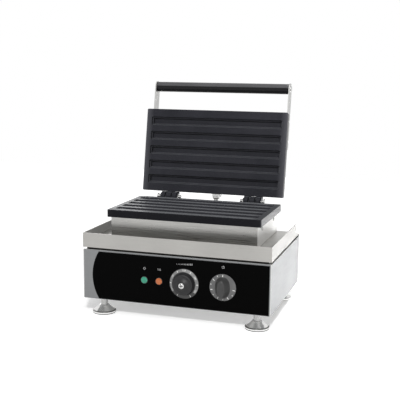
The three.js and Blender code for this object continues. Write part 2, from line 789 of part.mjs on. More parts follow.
// Pieces in a plate's frame, which the lower half and the lid share.

function pocket(y) {
  const [halfX, halfY] = [POCKET_LENGTH / 2, POCKET_WIDTH / 2];
  const mouth = rectangleRing(halfX, halfY, y, faceZ + OVERRUN);
  const levels = POCKET_SHARES.map(([down, inward]) => {
    const inset = inward * halfY;
    return rectangleRing(halfX - inset, halfY - inset, y, faceZ - down * POCKET_DEPTH);
  });
  return loft([mouth, ...levels]);
}

function bossPlaces() {
  return [[-PLATE_WIDTH / 4, plateMiddle], [PLATE_WIDTH / 4, plateMiddle]];
}

// The knuckles of the hinge on one side, each as [from, to] across.
function knuckleSpans(side, place) {
  const low = side * HINGE_X - KNUCKLE_CENTRE / 2;
  const high = low + KNUCKLE_CENTRE;
  if (place === 'centre') return [[low, high]];
  return [
    [low - KNUCKLE_GAP - KNUCKLE_SIDE, low - KNUCKLE_GAP],
    [high + KNUCKLE_GAP, high + KNUCKLE_GAP + KNUCKLE_SIDE],
  ];
}

function knuckle([x0, x1]) {
  const root = plateRear - KNUCKLE_ROOT;
  const web = flatShape([
    [root, faceZ - KNUCKLE_GAP],
    [0, faceZ - KNUCKLE_GAP],
    [0, -KNUCKLE_RADIUS],
    [root, backZ + KNUCKLE_GAP],
  ]);
  const ring = rod(KNUCKLE_RADIUS, [x0, 0, 0], [x1, 0, 0]);
  return joined([ring, sideways(web, x0, x1), heel([x0, x1])]);
}

// The heel that meets the other plate's edge with the lid open. It is drawn as it lies then,
// seen from its own plate: the other plate has swung about the axis by the open angle.
function heel([x0, x1]) {
  const outer = HINGE_OFFSET - SEAT;
  const inner = PIN_RADIUS + KNUCKLE_GAP;
  const far = KNUCKLE_RADIUS;
  const near = far - HEEL_LENGTH;
  const corners = [[-outer, far], [-inner, far], [-inner, near], [-outer, near]];
  const [c, s] = [Math.cos(openAngle), -Math.sin(openAngle)];
  return sideways(flatShape(corners.map(([y, z]) => [y * c - z * s, y * s + z * c])), x0, x1);
}

// One cast plate. Both halves of the iron hold the same casting, the upper one turned over,
// so that the knuckles of one fall between the knuckles of the other.
function castPlate(screwYs, screwZ) {
  const half = PLATE_WIDTH / 2;
  const slab = upright(roundedRectangle(-half, half, plateFore, plateRear, PLATE_CORNER), backZ, faceZ);
  const rimLow = backZ - RIM_DEPTH;
  const rim = box([-rimHalf, rimFore, rimLow], [rimHalf, rimRear, backZ + RIM_WALL]);
  const inHalf = rimHalf - RIM_WALL;
  const hollow = box([-inHalf, rimFore + RIM_WALL, rimLow - OVERRUN], [inHalf, rimRear - RIM_WALL, backZ]);
  const bosses = bossPlaces().map(([x, y]) => {
    return rod(BOSS_RADIUS, [x, y, shieldTop + SEAT], [x, y, backZ + RIM_WALL]);
  });
  const taps = bossPlaces().map(([x, y]) => rod(screwHole, [x, y, shieldTop], [x, y, backZ], SMALL));
  const spans = [...knuckleSpans(-1, 'sides'), ...knuckleSpans(1, 'centre')];
  const pockets = [];
  for (let i = 0; i < POCKET_COUNT; i++) {
    pockets.push(pocket(plateMiddle + (i - (POCKET_COUNT - 1) / 2) * POCKET_PITCH));
  }
  const drillings = screwYs.map((y) => crossRod(screwHole, half, y, screwZ, SMALL));
  const glandSpace = box([-half / 2, rimRear - RIM_WALL - OVERRUN, rimLow - OVERRUN], [half / 2, 0, backZ]);
  const body = joined([cut(rim, [hollow, glandSpace]), slab, ...bosses, ...spans.map(knuckle)]);
  return cut(body, [...pockets, ...taps, ...drillings, crossRod(PIN_RADIUS + RUNNING, half, 0, 0)]);
}

// The heating rod: runs along the plate joined by half circles.
function heater() {
  const pitch = (PLATE_DEPTH - 2 * HEATER_FROM_FRONT) / (HEATER_RUNS - 1);
  const reach = PLATE_WIDTH / 2 - HEATER_FROM_SIDE - pitch / 2;
  const line = new THREE.Path();
  for (let run = 0; run < HEATER_RUNS; run++) {
    const y = plateFore + HEATER_FROM_FRONT + run * pitch;
    const side = run % 2 ? -1 : 1;
    if (run === 0) line.moveTo(-reach, y);
    line.lineTo(side * reach, y);
    if (run === HEATER_RUNS - 1) continue;
    line.absarc(side * reach, y + pitch / 2, pitch / 2, -Math.PI / 2, Math.PI / 2, side < 0);
  }
  const points = line.getSpacedPoints(HEATER_STEPS).map(({ x, y }) => new THREE.Vector3(x, y, heaterZ));
  const section = new THREE.Shape();
  section.absarc(0, 0, HEATER_RADIUS, 0, 2 * Math.PI);
  const settings = { steps: HEATER_STEPS, curveSegments: HEATER_SIDES / 2, bevelEnabled: false };
  settings.extrudePath = new THREE.CatmullRomCurve3(points);
  return solid(new THREE.ExtrudeGeometry(section, settings));
}

const insideHalf = rimHalf - RIM_WALL - INSULATION_GAP;
const insideFore = rimFore + RIM_WALL + INSULATION_GAP;

function heatShield() {
  const sheet = box([-insideHalf, insideFore, shieldBottom], [insideHalf, bayFore, shieldTop]);
  const holes = bossPlaces().map(([x, y]) => {
    return rod(screwHole, [x, y, shieldBottom - OVERRUN], [x, y, shieldTop + OVERRUN], SMALL);
  });
  return cut(sheet, holes);
}

// The wool pad between the shield and the floor or the lid of the case.
function insulation(caseEnd) {
  const top = shieldBottom - SEAT;
  const pad = box([-insideHalf, insideFore, caseEnd], [insideHalf, bayFore, top]);
  const pits = bossPlaces().map(([x, y]) => {
    return rod(SCREW_HEAD_RADIUS + SEAT, [x, y, top - SCREW_HEAD - 2 * SEAT], [x, y, top + OVERRUN], SMALL);
  });
  return cut(pad, pits);
}

// Holes through both side walls of a case.
function sideHoles(ys, z) {
  return ys.map((y) => crossRod(screwHole, caseHalf + OVERRUN, y, z, SMALL));
}

function glandHole(x, drop) {
  const z = backZ - drop;
  return rod(GLAND_THREAD_RADIUS + SEAT, [x, caseRear - SHEET - OVERRUN, z], [x, caseRear + OVERRUN, z]);
}

const pedestalFoot = backZ - PEDESTAL_HEIGHT + SEAT;

function pedestal() {
  const top = backZ - SEAT;
  const outline = roundedRectangle(-caseHalf, caseHalf, caseFore, caseRear, BODY_CORNER);
  const inside = caseHalf - SHEET;
  const [fore, rear] = [caseFore + SHEET, caseRear - SHEET];
  const hollow = box([-inside, fore, pedestalFoot + SHEET], [inside, rear, top + OVERRUN]);
  const gap = inside - PEDESTAL_FLANGE;
  const foreGap = [-gap, fore + PEDESTAL_FLANGE, pedestalFoot - OVERRUN];
  const floor = box(foreGap, [gap, rear - OVERRUN, pedestalFoot + SHEET + OVERRUN]);
  const gland = glandHole(CONDUIT_LOWER_X, CONDUIT_LOWER_DROP);
  const holes = sideHoles(pedestalScrewYs, pedestalScrewZ);
  return cut(upright(outline, pedestalFoot, top), [hollow, floor, gland, ...holes]);
}

const coverTop = backZ - COVER_HEIGHT;

// The lid's cover: a box open to the plate, with its far edges folded at an angle.
function cover() {
  const top = backZ - SEAT;
  const middle = (caseFore + caseRear) / 2;
  const depth = (caseRear - caseFore) / 2;
  const ring = (inset, z) => rectangleRing(caseHalf - inset, depth - inset, middle, z);
  const outer = loft([ring(0, top), ring(0, coverTop + COVER_EDGE), ring(COVER_EDGE, coverTop)]);
  const inner = loft([
    ring(SHEET, top + OVERRUN),
    ring(SHEET, coverTop + COVER_EDGE),
    ring(COVER_EDGE, coverTop + SHEET),
  ]);
  const gland = glandHole(-CONDUIT_UPPER_X, CONDUIT_UPPER_DROP);
  return cut(outer, [inner, gland, ...sideHoles(armScrewYs, armZ)]);
}

// A flat bar from the cover's side up to the grip.
function handleArm(side) {
  const half = ARM_WIDTH / 2;
  const [low, high] = [armZ - half, armZ + half];
  const shape = new THREE.Shape();
  shape.absarc(gripY, armZ, half, Math.PI / 2, (3 * Math.PI) / 2);
  shape.absarc(armRootY - ARM_CORNER, low + ARM_CORNER, ARM_CORNER, -Math.PI / 2, 0);
  shape.absarc(armRootY - ARM_CORNER, high - ARM_CORNER, ARM_CORNER, 0, Math.PI / 2);
  const [x0, x1] = side < 0 ? [-armOut, -armIn] : [armIn, armOut];
  const holes = armScrewYs.map((y) => crossRod(screwHole, armOut + OVERRUN, y, armZ, SMALL));
  holes.push(crossRod(BOLT_RADIUS + SEAT, armOut + OVERRUN, gripY, armZ));
  return cut(sideways(shape, x0, x1), holes);
}

// The grip, turned about its own z axis.
function handleGrip() {
  const end = armIn - SEAT;
  const bore = BOLT_RADIUS + SEAT;
  const edge = GRIP_BAR_RADIUS - GRIP_BAR_EDGE;
  return turned([
    [0, GRIP_BAR_BORE - end],
    [bore, GRIP_BAR_BORE - end],
    [bore, -end],
    [edge, -end],
    [GRIP_BAR_RADIUS, GRIP_BAR_EDGE - end],
    [GRIP_BAR_RADIUS, end - GRIP_BAR_EDGE],
    [edge, end],
    [bore, end],
    [bore, end - GRIP_BAR_BORE],
    [0, end - GRIP_BAR_BORE],
  ], FINE);
}

// A conduit gland that points along z from the wall at z = 0.
function conduitGland() {
  const nut = turned([
    [0, SEAT],
    [GLAND_NUT_RADIUS, SEAT],
    [GLAND_NUT_RADIUS, GLAND_NUT],
    [0, GLAND_NUT],
  ], HEX);
  const tip = GLAND_NUT + GLAND_NECK;
  const stem = turned([
    [0, -GLAND_THREAD],
    [GLAND_THREAD_RADIUS, -GLAND_THREAD],
    [GLAND_THREAD_RADIUS, SEAT],
    [GLAND_NECK_RADIUS, SEAT],
    [GLAND_NECK_RADIUS, tip],
    [0, tip],
  ]);
  return nut.add(stem).subtract(rod(GLAND_BORE, [0, 0, -GLAND_THREAD - OVERRUN], [0, 0, tip + OVERRUN]));
}

// The conduit's line with the lid open, from gland to gland, in the lower plate's frame.
function conduitRoute() {
  const reach = caseRear + GLAND_NUT + GLAND_NECK + SEAT;
  const upperDrop = backZ - CONDUIT_UPPER_DROP;
  const forward = new THREE.Vector3(0, 1, 0);
  const turn = new THREE.Vector3(1, 0, 0);
  const lidWay = forward.clone().applyAxisAngle(turn, -openAngle);
  const lower = new THREE.Vector3(CONDUIT_LOWER_X, reach, backZ - CONDUIT_LOWER_DROP);
  const upper = new THREE.Vector3(CONDUIT_UPPER_X, reach, -upperDrop).applyAxisAngle(turn, -openAngle);
  const straight = 2 * CONDUIT_RADIUS;
  const lowerEnd = lower.clone().addScaledVector(forward, straight);
  const upperEnd = upper.clone().addScaledVector(lidWay, straight);
  const lowerPull = lowerEnd.clone().addScaledVector(forward, CONDUIT_PULL);
  const upperPull = upperEnd.clone().addScaledVector(lidWay, CONDUIT_PULL);
  const route = new THREE.CurvePath();
  route.add(new THREE.LineCurve3(lower, lowerEnd));
  route.add(new THREE.CubicBezierCurve3(lowerEnd, lowerPull, upperPull, upperEnd));
  route.add(new THREE.LineCurve3(upperEnd, upper));
  return route;
}

// A ribbed hose with its bore, straight for one diameter at each end.
function conduit() {
  const route = conduitRoute();
  const endShare = (2 * CONDUIT_RADIUS) / route.getLength();
  const valley = CONDUIT_RADIUS - CONDUIT_RIB;
  const bore = valley - CONDUIT_WALL;
  const normal = new THREE.Vector3(1, 0, 0);
  const [outside, inside] = [[], []];
  const addRing = (rows, share, radius) => {
    const middle = route.getPointAt(share);
    const tangent = route.getTangentAt(share);
    normal.addScaledVector(tangent, -normal.dot(tangent)).normalize();
    const binormal = tangent.clone().cross(normal);
    const ring = [];
    for (let i = 0; i < CONDUIT_POINTS; i++) {
      const angle = (2 * Math.PI * i) / CONDUIT_POINTS;
      const point = middle.clone().addScaledVector(normal, radius * Math.cos(angle));
      ring.push(point.addScaledVector(binormal, radius * Math.sin(angle)).toArray());
    }
    rows.push(ring);
  };
  const both = (share) => {
    addRing(outside, share, valley);
    addRing(inside, share, bore);
  };
  both(0);
  for (let half = 0; half <= 2 * CONDUIT_RIBS; half++) {
    const share = endShare + ((1 - 2 * endShare) * half) / (2 * CONDUIT_RIBS);
    if (half % (2 * CONDUIT_BORE_EVERY) === 0) both(share);
    else addRing(outside, share, half % 2 ? CONDUIT_RADIUS : valley);
  }
  both(1);
  return closedSkin([...outside, ...inside.reverse()]);
}

// A skin whose rings follow each other all the way round and back to the first.
function closedSkin(rings) {
  const count = rings[0].length;
  const index = [];
  rings.forEach((ring, row) => {
    const next = ((row + 1) % rings.length) * count;
    for (let i = 0; i < count; i++) {
      const j = (i + 1) % count;
      index.push(row * count + i, row * count + j, next + i);
      index.push(row * count + j, next + j, next + i);
    }
  });
  const geometry = new THREE.BufferGeometry();
  geometry.setAttribute('position', new THREE.Float32BufferAttribute(rings.flat(2), 3));
  geometry.setIndex(index);
  return solid(geometry);
}

// Puts the pieces together.
const machine = new THREE.Group();

function addBody() {
  const body = groupAt(machine, 0, 0, FOOT_HEIGHT);
  piece(body, 'body_shell', bodyShell(), STEEL);
  piece(body, 'base_plate', basePlate(), STEEL);
  piece(body, 'rear_panel', rearPanel(), STEEL);
  piece(body, 'front_overlay', frontOverlay(), GLOSS_BLACK);
  piece(body, 'terminal_block', terminalBlock(), CERAMIC).position.set(0, TERMINAL_Y, floorTop + SEAT);
  const gland = piece(body, 'cord_gland', cordGland(), DARK_PLASTIC);
  gland.position.set(cordGlandX, rearFace, CORD_GLAND_HEIGHT);
  gland.rotation.x = -Math.PI / 2;
}

function addFeet() {
  for (const [name, x, y] of footPlaces()) {
    const foot = groupAt(machine, x, y, 0);
    piece(foot, `foot_cup_${name}`, footCup(), POLISHED);
    piece(foot, `foot_post_${name}`, footPost(), POLISHED);
  }
}

function controlGroup(x) {
  const group = groupAt(machine, x, overlayFront, FOOT_HEIGHT + CONTROL_HEIGHT);
  group.rotation.x = Math.PI / 2;
  return group;
}

function addControls() {
  piece(controlGroup(POWER_LAMP_X), 'power_lamp', lamp(), GREEN_LENS);
  piece(controlGroup(HEATING_LAMP_X), 'heating_lamp', lamp(), ORANGE_LENS);
  const thermostat = controlGroup(THERMOSTAT_X);
  piece(thermostat, 'thermostat_body', thermostatBody(), DARK_PLASTIC);
  piece(thermostat, 'thermostat_spindle', spindle(capBoreEnd - SEAT), STEEL);
  piece(thermostat, 'thermostat_dial', thermostatDial(), DIAL_GREY);
  piece(thermostat, 'thermostat_cap', thermostatCap(), DARK_PLASTIC);
  piece(thermostat, 'thermostat_knob_screw', thermostatScrew(), POLISHED);
  const timer = controlGroup(TIMER_X);
  piece(timer, 'timer_body', timerBody(), DARK_PLASTIC);
  piece(timer, 'timer_spindle', spindle(timerBoreEnd - SEAT), STEEL);
  piece(timer, 'timer_knob', timerKnob(), TIMER_GREY);
}

function addTray() {
  const tray = groupAt(machine, 0, 0, bodyTop);
  piece(tray, 'tray_plinth', trayPlinth(), STEEL);
  piece(tray, 'drip_tray', dripTray(), STEEL);
}

// A screw whose head lies against the outside of a side wall.
function addSideScrew(group, name, side, wall, sheets, y, z) {
  const length = sheets + SCREW_GRIP;
  const mesh = piece(group, name, screw(SCREW_RADIUS, length, SCREW_HEAD_RADIUS, SCREW_HEAD), POLISHED);
  mesh.position.set(side * (wall + SEAT), y, z);
  mesh.rotation.y = (side * Math.PI) / 2;
}

function addShieldScrews(group, half) {
  const length = SHEET + SEAT + HEATER_RADIUS;
  const names = ['left', 'right'];
  bossPlaces().forEach(([x, y], i) => {
    const shape = screw(SCREW_RADIUS, length, SCREW_HEAD_RADIUS, SCREW_HEAD);
    const mesh = piece(group, `${half}_shield_screw_${names[i]}`, shape, POLISHED);
    mesh.position.set(x, y, shieldBottom - SEAT / 2);
    mesh.rotation.x = Math.PI;
  });
}

function addGland(group, name, x, drop) {
  const mesh = piece(group, name, conduitGland(), POLISHED);
  mesh.position.set(x, caseRear, backZ - drop);
  mesh.rotation.x = -Math.PI / 2;
}

const SIDES = [['left', -1], ['right', 1]];

function addLowerHalf() {
  const half = groupAt(machine, 0, hingeY, hingeZ);
  piece(half, 'pedestal', pedestal(), STEEL);
  piece(half, 'lower_plate', castPlate(pedestalScrewYs, pedestalScrewZ), CASTING);
  piece(half, 'lower_heater', heater(), HEATER_STEEL);
  piece(half, 'lower_heat_shield', heatShield(), STEEL);
  piece(half, 'lower_insulation', insulation(pedestalFoot + SHEET + SEAT), WOOL);
  addShieldScrews(half, 'lower');
  for (const [name, side] of SIDES) {
    const [front, back] = pedestalScrewYs;
    const sheets = SHEET + 2 * SEAT;
    addSideScrew(half, `pedestal_screw_${name}_front`, side, caseHalf, sheets, front, pedestalScrewZ);
    addSideScrew(half, `pedestal_screw_${name}_back`, side, caseHalf, sheets, back, pedestalScrewZ);
    addHingePin(half, name, side);
  }
  addGland(half, 'conduit_gland_lower', CONDUIT_LOWER_X, CONDUIT_LOWER_DROP);
  piece(half, 'wire_conduit', conduit(), POLISHED);
}

// A pin with its head on the outer side of the hinge and its nut on the inner side.
function addHingePin(group, name, side) {
  const half = KNUCKLE_CENTRE / 2 + KNUCKLE_GAP + KNUCKLE_SIDE;
  const shank = 2 * half + SEAT + PIN_TAIL;
  const pin = piece(group, `hinge_pin_${name}`, turned([
    [0, -shank],
    [PIN_RADIUS, -shank],
    [PIN_RADIUS, 0],
    [PIN_HEAD_RADIUS, 0],
    [PIN_HEAD_RADIUS, PIN_HEAD],
    [0, PIN_HEAD],
  ]), POLISHED);
  pin.position.x = side * (HINGE_X + half + SEAT);
  pin.rotation.y = (side * Math.PI) / 2;
  const bore = PIN_RADIUS + RUNNING;
  const nut = turned([[0, 0], [NUT_RADIUS, 0], [NUT_RADIUS, NUT_HEIGHT], [0, NUT_HEIGHT]], HEX);
  const ring = nut.subtract(rod(bore, [0, 0, -OVERRUN], [0, 0, NUT_HEIGHT + OVERRUN]));
  const mesh = piece(group, `hinge_nut_${name}`, ring, POLISHED);
  mesh.position.x = side * (HINGE_X - half - SEAT);
  mesh.rotation.y = (-side * Math.PI) / 2;
}

function addLid() {
  const lid = groupAt(machine, 0, hingeY, hingeZ);
  lid.rotation.x = -openAngle;
  const half = groupAt(lid, 0, 0, 0);
  half.rotation.y = Math.PI;
  piece(half, 'upper_plate', castPlate(armScrewYs, armZ), CASTING);
  piece(half, 'upper_heater', heater(), HEATER_STEEL);
  piece(half, 'upper_heat_shield', heatShield(), STEEL);
  piece(half, 'upper_insulation', insulation(coverTop + SHEET + COVER_EDGE), WOOL);
  addShieldScrews(half, 'upper');
  piece(half, 'upper_cover', cover(), STEEL);
  addGland(half, 'conduit_gland_upper', -CONDUIT_UPPER_X, CONDUIT_UPPER_DROP);
  // The half is turned over, so its left is the machine's right.
  for (const [name, side] of SIDES.map(([label, way]) => [label, -way])) {
    piece(half, `handle_arm_${name}`, handleArm(side), STEEL);
    const [lower, upper] = armScrewYs;
    const sheets = ARM_THICKNESS + SHEET + 3 * SEAT;
    addSideScrew(half, `arm_screw_${name}_lower`, side, armOut, sheets, lower, armZ);
    addSideScrew(half, `arm_screw_${name}_upper`, side, armOut, sheets, upper, armZ);
    const length = ARM_THICKNESS + 2 * SEAT + BOLT_REACH;
    const boltShape = screw(BOLT_RADIUS, length, BOLT_HEAD_RADIUS, BOLT_HEAD);
    const bolt = piece(half, `handle_bolt_${name}`, boltShape, POLISHED);
    bolt.position.set(side * (armOut + SEAT), gripY, armZ);
    bolt.rotation.y = (side * Math.PI) / 2;
  }
  const grip = piece(half, 'handle_grip', handleGrip(), GRIP_BLACK);
  grip.position.set(0, gripY, armZ);
  grip.rotation.y = Math.PI / 2;
}

addBody();
addFeet();
addControls();
addTray();
addLowerHalf();
addLid();

// The origin goes to the middle of the footprint, on the counter.
machine.updateMatrixWorld(true);
const bounds = new THREE.Box3().setFromObject(machine, true);
const middle = bounds.getCenter(new THREE.Vector3());
machine.position.set(-middle.x, -middle.y, -bounds.min.z);

export default machine;
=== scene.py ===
# %% [markdown]
# # A stick waffle iron, finished over its CAD frame
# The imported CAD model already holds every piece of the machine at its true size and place.
# This lesson keeps the sheet-metal pieces, softens their folds, rebuilds the round and cast pieces
# with finer meshes, and gives each surface a procedural finish. Lengths are in metres, and MM turns
# a millimetre value into metres.

import json
import math

import bmesh
import bpy
from mathutils import Matrix, Vector

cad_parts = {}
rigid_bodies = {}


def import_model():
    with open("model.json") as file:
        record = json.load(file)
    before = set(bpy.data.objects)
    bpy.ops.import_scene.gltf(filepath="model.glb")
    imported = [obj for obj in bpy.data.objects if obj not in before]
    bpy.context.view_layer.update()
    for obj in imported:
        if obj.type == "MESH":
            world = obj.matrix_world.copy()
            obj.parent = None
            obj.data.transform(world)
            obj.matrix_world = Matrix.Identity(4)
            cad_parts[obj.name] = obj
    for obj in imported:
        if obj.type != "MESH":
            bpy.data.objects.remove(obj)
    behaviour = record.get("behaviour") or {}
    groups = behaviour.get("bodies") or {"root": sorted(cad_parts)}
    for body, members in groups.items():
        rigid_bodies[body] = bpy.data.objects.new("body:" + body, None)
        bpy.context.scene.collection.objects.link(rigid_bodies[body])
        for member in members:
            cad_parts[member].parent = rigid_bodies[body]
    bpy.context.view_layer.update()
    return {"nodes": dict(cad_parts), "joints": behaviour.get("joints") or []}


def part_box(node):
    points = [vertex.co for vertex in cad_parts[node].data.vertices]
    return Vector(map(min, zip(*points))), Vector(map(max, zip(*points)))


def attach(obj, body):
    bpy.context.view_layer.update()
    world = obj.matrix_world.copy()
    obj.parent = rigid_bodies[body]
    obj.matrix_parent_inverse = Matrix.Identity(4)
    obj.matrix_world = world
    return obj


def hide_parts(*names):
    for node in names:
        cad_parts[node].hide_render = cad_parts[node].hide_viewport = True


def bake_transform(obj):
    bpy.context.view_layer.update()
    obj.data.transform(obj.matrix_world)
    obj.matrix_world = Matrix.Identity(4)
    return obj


MM = 0.001

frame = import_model()
nodes = frame["nodes"]
scene = bpy.context.scene

# %% [markdown]
# ## Where the pieces stand
# The machine has two places that the boxes of single nodes don't give. The front panel is the plane
# that knobs and lamps stand on. The hinge axis carries the lid, which rests 100 degrees open. Both
# halves of the iron hold the same casting, so one plate frame serves them both: the hinge axis is
# its x axis, the front is at -y, and the baking face looks up. The lid has that frame turned over.

# %% Plate frames
hinge = next(joint for joint in frame["joints"] if joint["name"] == "lid_hinge")
hinge_point = Vector(hinge["pos_m"])
open_angle = math.radians(hinge["range_deg"][1])

lower_place = Matrix.Translation(hinge_point)
tilt = Matrix.Rotation(-open_angle, 4, "X")
lid_place = lower_place @ tilt @ Matrix.Rotation(math.pi, 4, "Y")


def box_in(node, place):
    """Lowest and highest corner of a CAD node, seen from a frame of its own."""
    back = place.inverted()
    corners = [back @ vertex.co for vertex in nodes[node].data.vertices]
    low = Vector(min(corner[axis] for corner in corners) for axis in range(3))
    high = Vector(max(corner[axis] for corner in corners) for axis in range(3))
    return low, high


def middle_of(node, place=Matrix.Identity(4)):
    low, high = box_in(node, place)
    return (low + high) / 2


plate_low, plate_high = box_in("lower_plate", lower_place)
print("hinge at", tuple(hinge_point), "plate", tuple(plate_low), tuple(plate_high))

# %% [markdown]
# ## The camera
# A photograph is matched by solving the camera once and writing down what came out: where it stands,
# which way it turns, how far it leans, and how long its lens is. The values below put the machine at
# three-quarter view from the front right, a little above the counter.

# %% Camera
CAMERA_AT = Vector((520.1 * MM, -1645.1 * MM, 526.0 * MM))
CAMERA_AZIMUTH = math.radians(17.47)
CAMERA_PITCH = math.radians(-9.764)
CAMERA_ROLL = math.radians(0.57)
CAMERA_LENS = 72.685
CAMERA_SENSOR = 36


def add(name, data):
    """Puts a new object with that data in the scene."""
    item = bpy.data.objects.new(name, data)
    scene.collection.objects.link(item)
    return item


camera_data = bpy.data.cameras.new("camera")
camera_data.lens = CAMERA_LENS
camera_data.sensor_width = CAMERA_SENSOR
camera = add("camera", camera_data)
turn = Matrix.Rotation(CAMERA_AZIMUTH, 4, "Z")
nod = Matrix.Rotation(math.pi / 2 + CAMERA_PITCH, 4, "X")
lean = Matrix.Rotation(CAMERA_ROLL, 4, "Z")
camera.matrix_world = Matrix.Translation(CAMERA_AT) @ turn @ nod @ lean
scene.camera = camera
print("camera stands at", tuple(round(v, 3) for v in CAMERA_AT))

# %% [markdown]
# ## Shader helpers
# Every finish here is a Principled surface with small changes drawn over it. One helper adds a shader
# node and feeds its inputs. The others are built on it: noise and coordinates in object space, a
# pattern turned into a range of values or a blend of two colours, and the surface itself with its bump.

# %% Shader helpers
# The mixing node has a socket of each name for every kind of data, so its colours go by number
FIRST_COLOUR, SECOND_COLOUR, MIXED_COLOUR = 6, 7, 2


def feed(owner, socket, value):
    """Gives a socket a fixed value, or links it to the output of another node."""
    if isinstance(value, bpy.types.NodeSocket):
        owner.node_tree.links.new(value, socket)
    elif socket.type == "RGBA":
        socket.default_value = (*value, 1)
    else:
        socket.default_value = value


def add_node(owner, kind, inputs, output=0, **settings):
    """A shader node of a material or world. The result is one of its outputs."""
    added = owner.node_tree.nodes.new(kind)
    for name, value in settings.items():
        setattr(added, name, value)
    for name, value in inputs.items():
        feed(owner, added.inputs[name], value)
    return added.outputs[output]


def noise(owner, scale, stretch=(1, 1, 1), detail=3.0):
    """Grey noise in object space. A stretch above one packs the pattern tighter along that axis."""
    place = add_node(owner, "ShaderNodeTexCoord", {}, "Object")
    mapped = add_node(owner, "ShaderNodeMapping", {"Vector": place, "Scale": stretch})
    settings = {"Vector": mapped, "Scale": scale, "Detail": detail}
    return add_node(owner, "ShaderNodeTexNoise", settings, "Fac")


def coordinate(owner, axis):
    """One coordinate of object space, in metres."""
    place = add_node(owner, "ShaderNodeTexCoord", {}, "Object")
    return add_node(owner, "ShaderNodeSeparateXYZ", {"Vector": place}, axis)


def spread(owner, pattern, low, high, start=0.3, end=0.7):
    """Values that go from low to high as the pattern goes from start to end."""
    limits = {"From Min": start, "From Max": end, "To Min": low, "To Max": high}
    return add_node(owner, "ShaderNodeMapRange", {"Value": pattern, **limits})


def blend(owner, pattern, first, second, start=0.3, end=0.7, most=1):
    """A colour that goes from first to second, or part of that way, as the pattern grows."""
    share = spread(owner, pattern, 0, most, start, end)
    colours = {"Factor": share, FIRST_COLOUR: first, SECOND_COLOUR: second}
    return add_node(owner, "ShaderNodeMix", colours, MIXED_COLOUR, data_type="RGBA")


def shade(colour, factor):
    return tuple(min(1, factor * share) for share in colour)


def new_material(name):
    material = bpy.data.materials.new(name)
    material.use_nodes = True
    return material


def dress(material, colour, roughness, bump=None, more=None):
    """Feeds the surface. Bump is a pattern, its strength, and its height in millimetres."""
    surface = material.node_tree.nodes["Principled BSDF"]
    inputs = {"Base Color": colour, "Roughness": roughness, **(more or {})}
    if bump:
        pattern, strength, height = bump
        raised = {"Height": pattern, "Strength": strength, "Distance": height * MM}
        inputs["Normal"] = add_node(material, "ShaderNodeBump", raised)
    for name, value in inputs.items():
        feed(material, surface.inputs[name], value)
    return material


# %% [markdown]
# ## Brushed stainless steel
# The body, the tray and the cases are satin stainless sheet. The mill leaves fine lines in one
# direction, and use adds cloudy patches where the sheet has been wiped. Noise that is stretched
# thin across the lines gives the brushing, and a wide soft noise gives the wiped patches. The
# direction is a setting, because each sheet was cut with its lines along its longer side. End faces
# have their lines the other way, and they are duller, as sheet is where it was bent and ground.
# Some steels are paler or darker copies of one sheet, which paint in light and shade: paler ones on
# right faces, the underside, the deck and the folds are painted light, and a near-black one in the
# gap under the tray and in screw slots is painted shade.

# %% Brushed steel
ALONG_X = (0.02, 1, 1)
ALONG_Y = (1, 0.02, 1)
ALONG_Z = (1, 1, 0.02)
# How many brush lines and how many wiped patches go on a metre
BRUSH_LINES = 900
WIPED_PATCHES = 9
# The shades between which the patches go, and how far the roughness goes down and up
WIPED_SHADES = (0.93, 1.06)
ROUGHNESS_RANGE = (-0.05, 0.08)

# For each steel: its name, the way of its lines, its colour and its roughness
# Side, end, pale and bright are paler copies that paint in light, and dark is a near-black copy that paints
# shade
STEELS = {
    "body": ("body_satin_steel", ALONG_X, (0.197, 0.201, 0.204), 0.42),
    "side": ("side_satin_steel_painted_light", ALONG_Y, (0.312, 0.316, 0.32), 0.57),
    "tray": ("tray_satin_steel", ALONG_X, (0.353, 0.346, 0.331), 0.46),
    "case": ("case_satin_steel", ALONG_X, (0.36, 0.356, 0.344), 0.3),
    "back": ("back_matt_steel", ALONG_X, (0.3, 0.296, 0.285), 0.58),
    "bright": ("bright_steel_painted_light", ALONG_X, (0.46, 0.46, 0.455), 0.3),
    "floor": ("tray_floor_steel", ALONG_X, (0.4, 0.393, 0.376), 0.3),
    "end": ("end_matt_steel_painted_light", ALONG_Y, (0.47, 0.466, 0.456), 0.62),
    "pale": ("pale_steel_painted_light", ALONG_Y, (0.8, 0.795, 0.78), 0.5),
    "dark": ("steel_painted_shade", ALONG_X, (0.035, 0.032, 0.03), 0.5),
    "arm": ("arm_satin_steel", ALONG_Z, (0.5, 0.498, 0.487), 0.34),
}


def brushed_steel(name, across, colour, roughness):
    metal = new_material(name)
    lines = noise(metal, BRUSH_LINES, across, detail=2.0)
    patches = noise(metal, WIPED_PATCHES, detail=4.0)
    tint = blend(metal, patches, *(shade(colour, factor) for factor in WIPED_SHADES))
    rough = spread(metal, lines, *(roughness + change for change in ROUGHNESS_RANGE))
    return dress(metal, tint, rough, (lines, 0.12, 0.02), {"Metallic": 1})


steel = {key: brushed_steel(*values) for key, values in STEELS.items()}
print("steels:", len(steel))

# %% [markdown]
# ## Floor, backdrop and lamps
# Product photographs stand the machine on white paper. The paper here is a pale floor that the
# camera, and anything shiny, also sees glow a little. The glow grows with distance and in front of
# the shadow, so the paper is plain white there while the shadow under the machine stays. The key
# lamp is small and far, and gives that shadow its edge. A soft lamp above and a wide one behind fill
# in, and a narrow one lights a strip of floor on the right, which the steel of that side mirrors.

# %% Floor and light
FLOOR_SIZE = 4.0
FLOOR_COLOUR = (0.88, 0.88, 0.88)
# The glow close to the machine and far from it, and the two distances
FLOOR_GLOW = (0.34, 0.7, 0.5, 1.6)
# The glow that is added in front of the shadow, what it falls to, and the two values of y
FRONT_GLOW = (0.14, 0, -0.14, -0.118)
WORLD_LIGHT = 0.38
AIM = (0, 0, 0.2)
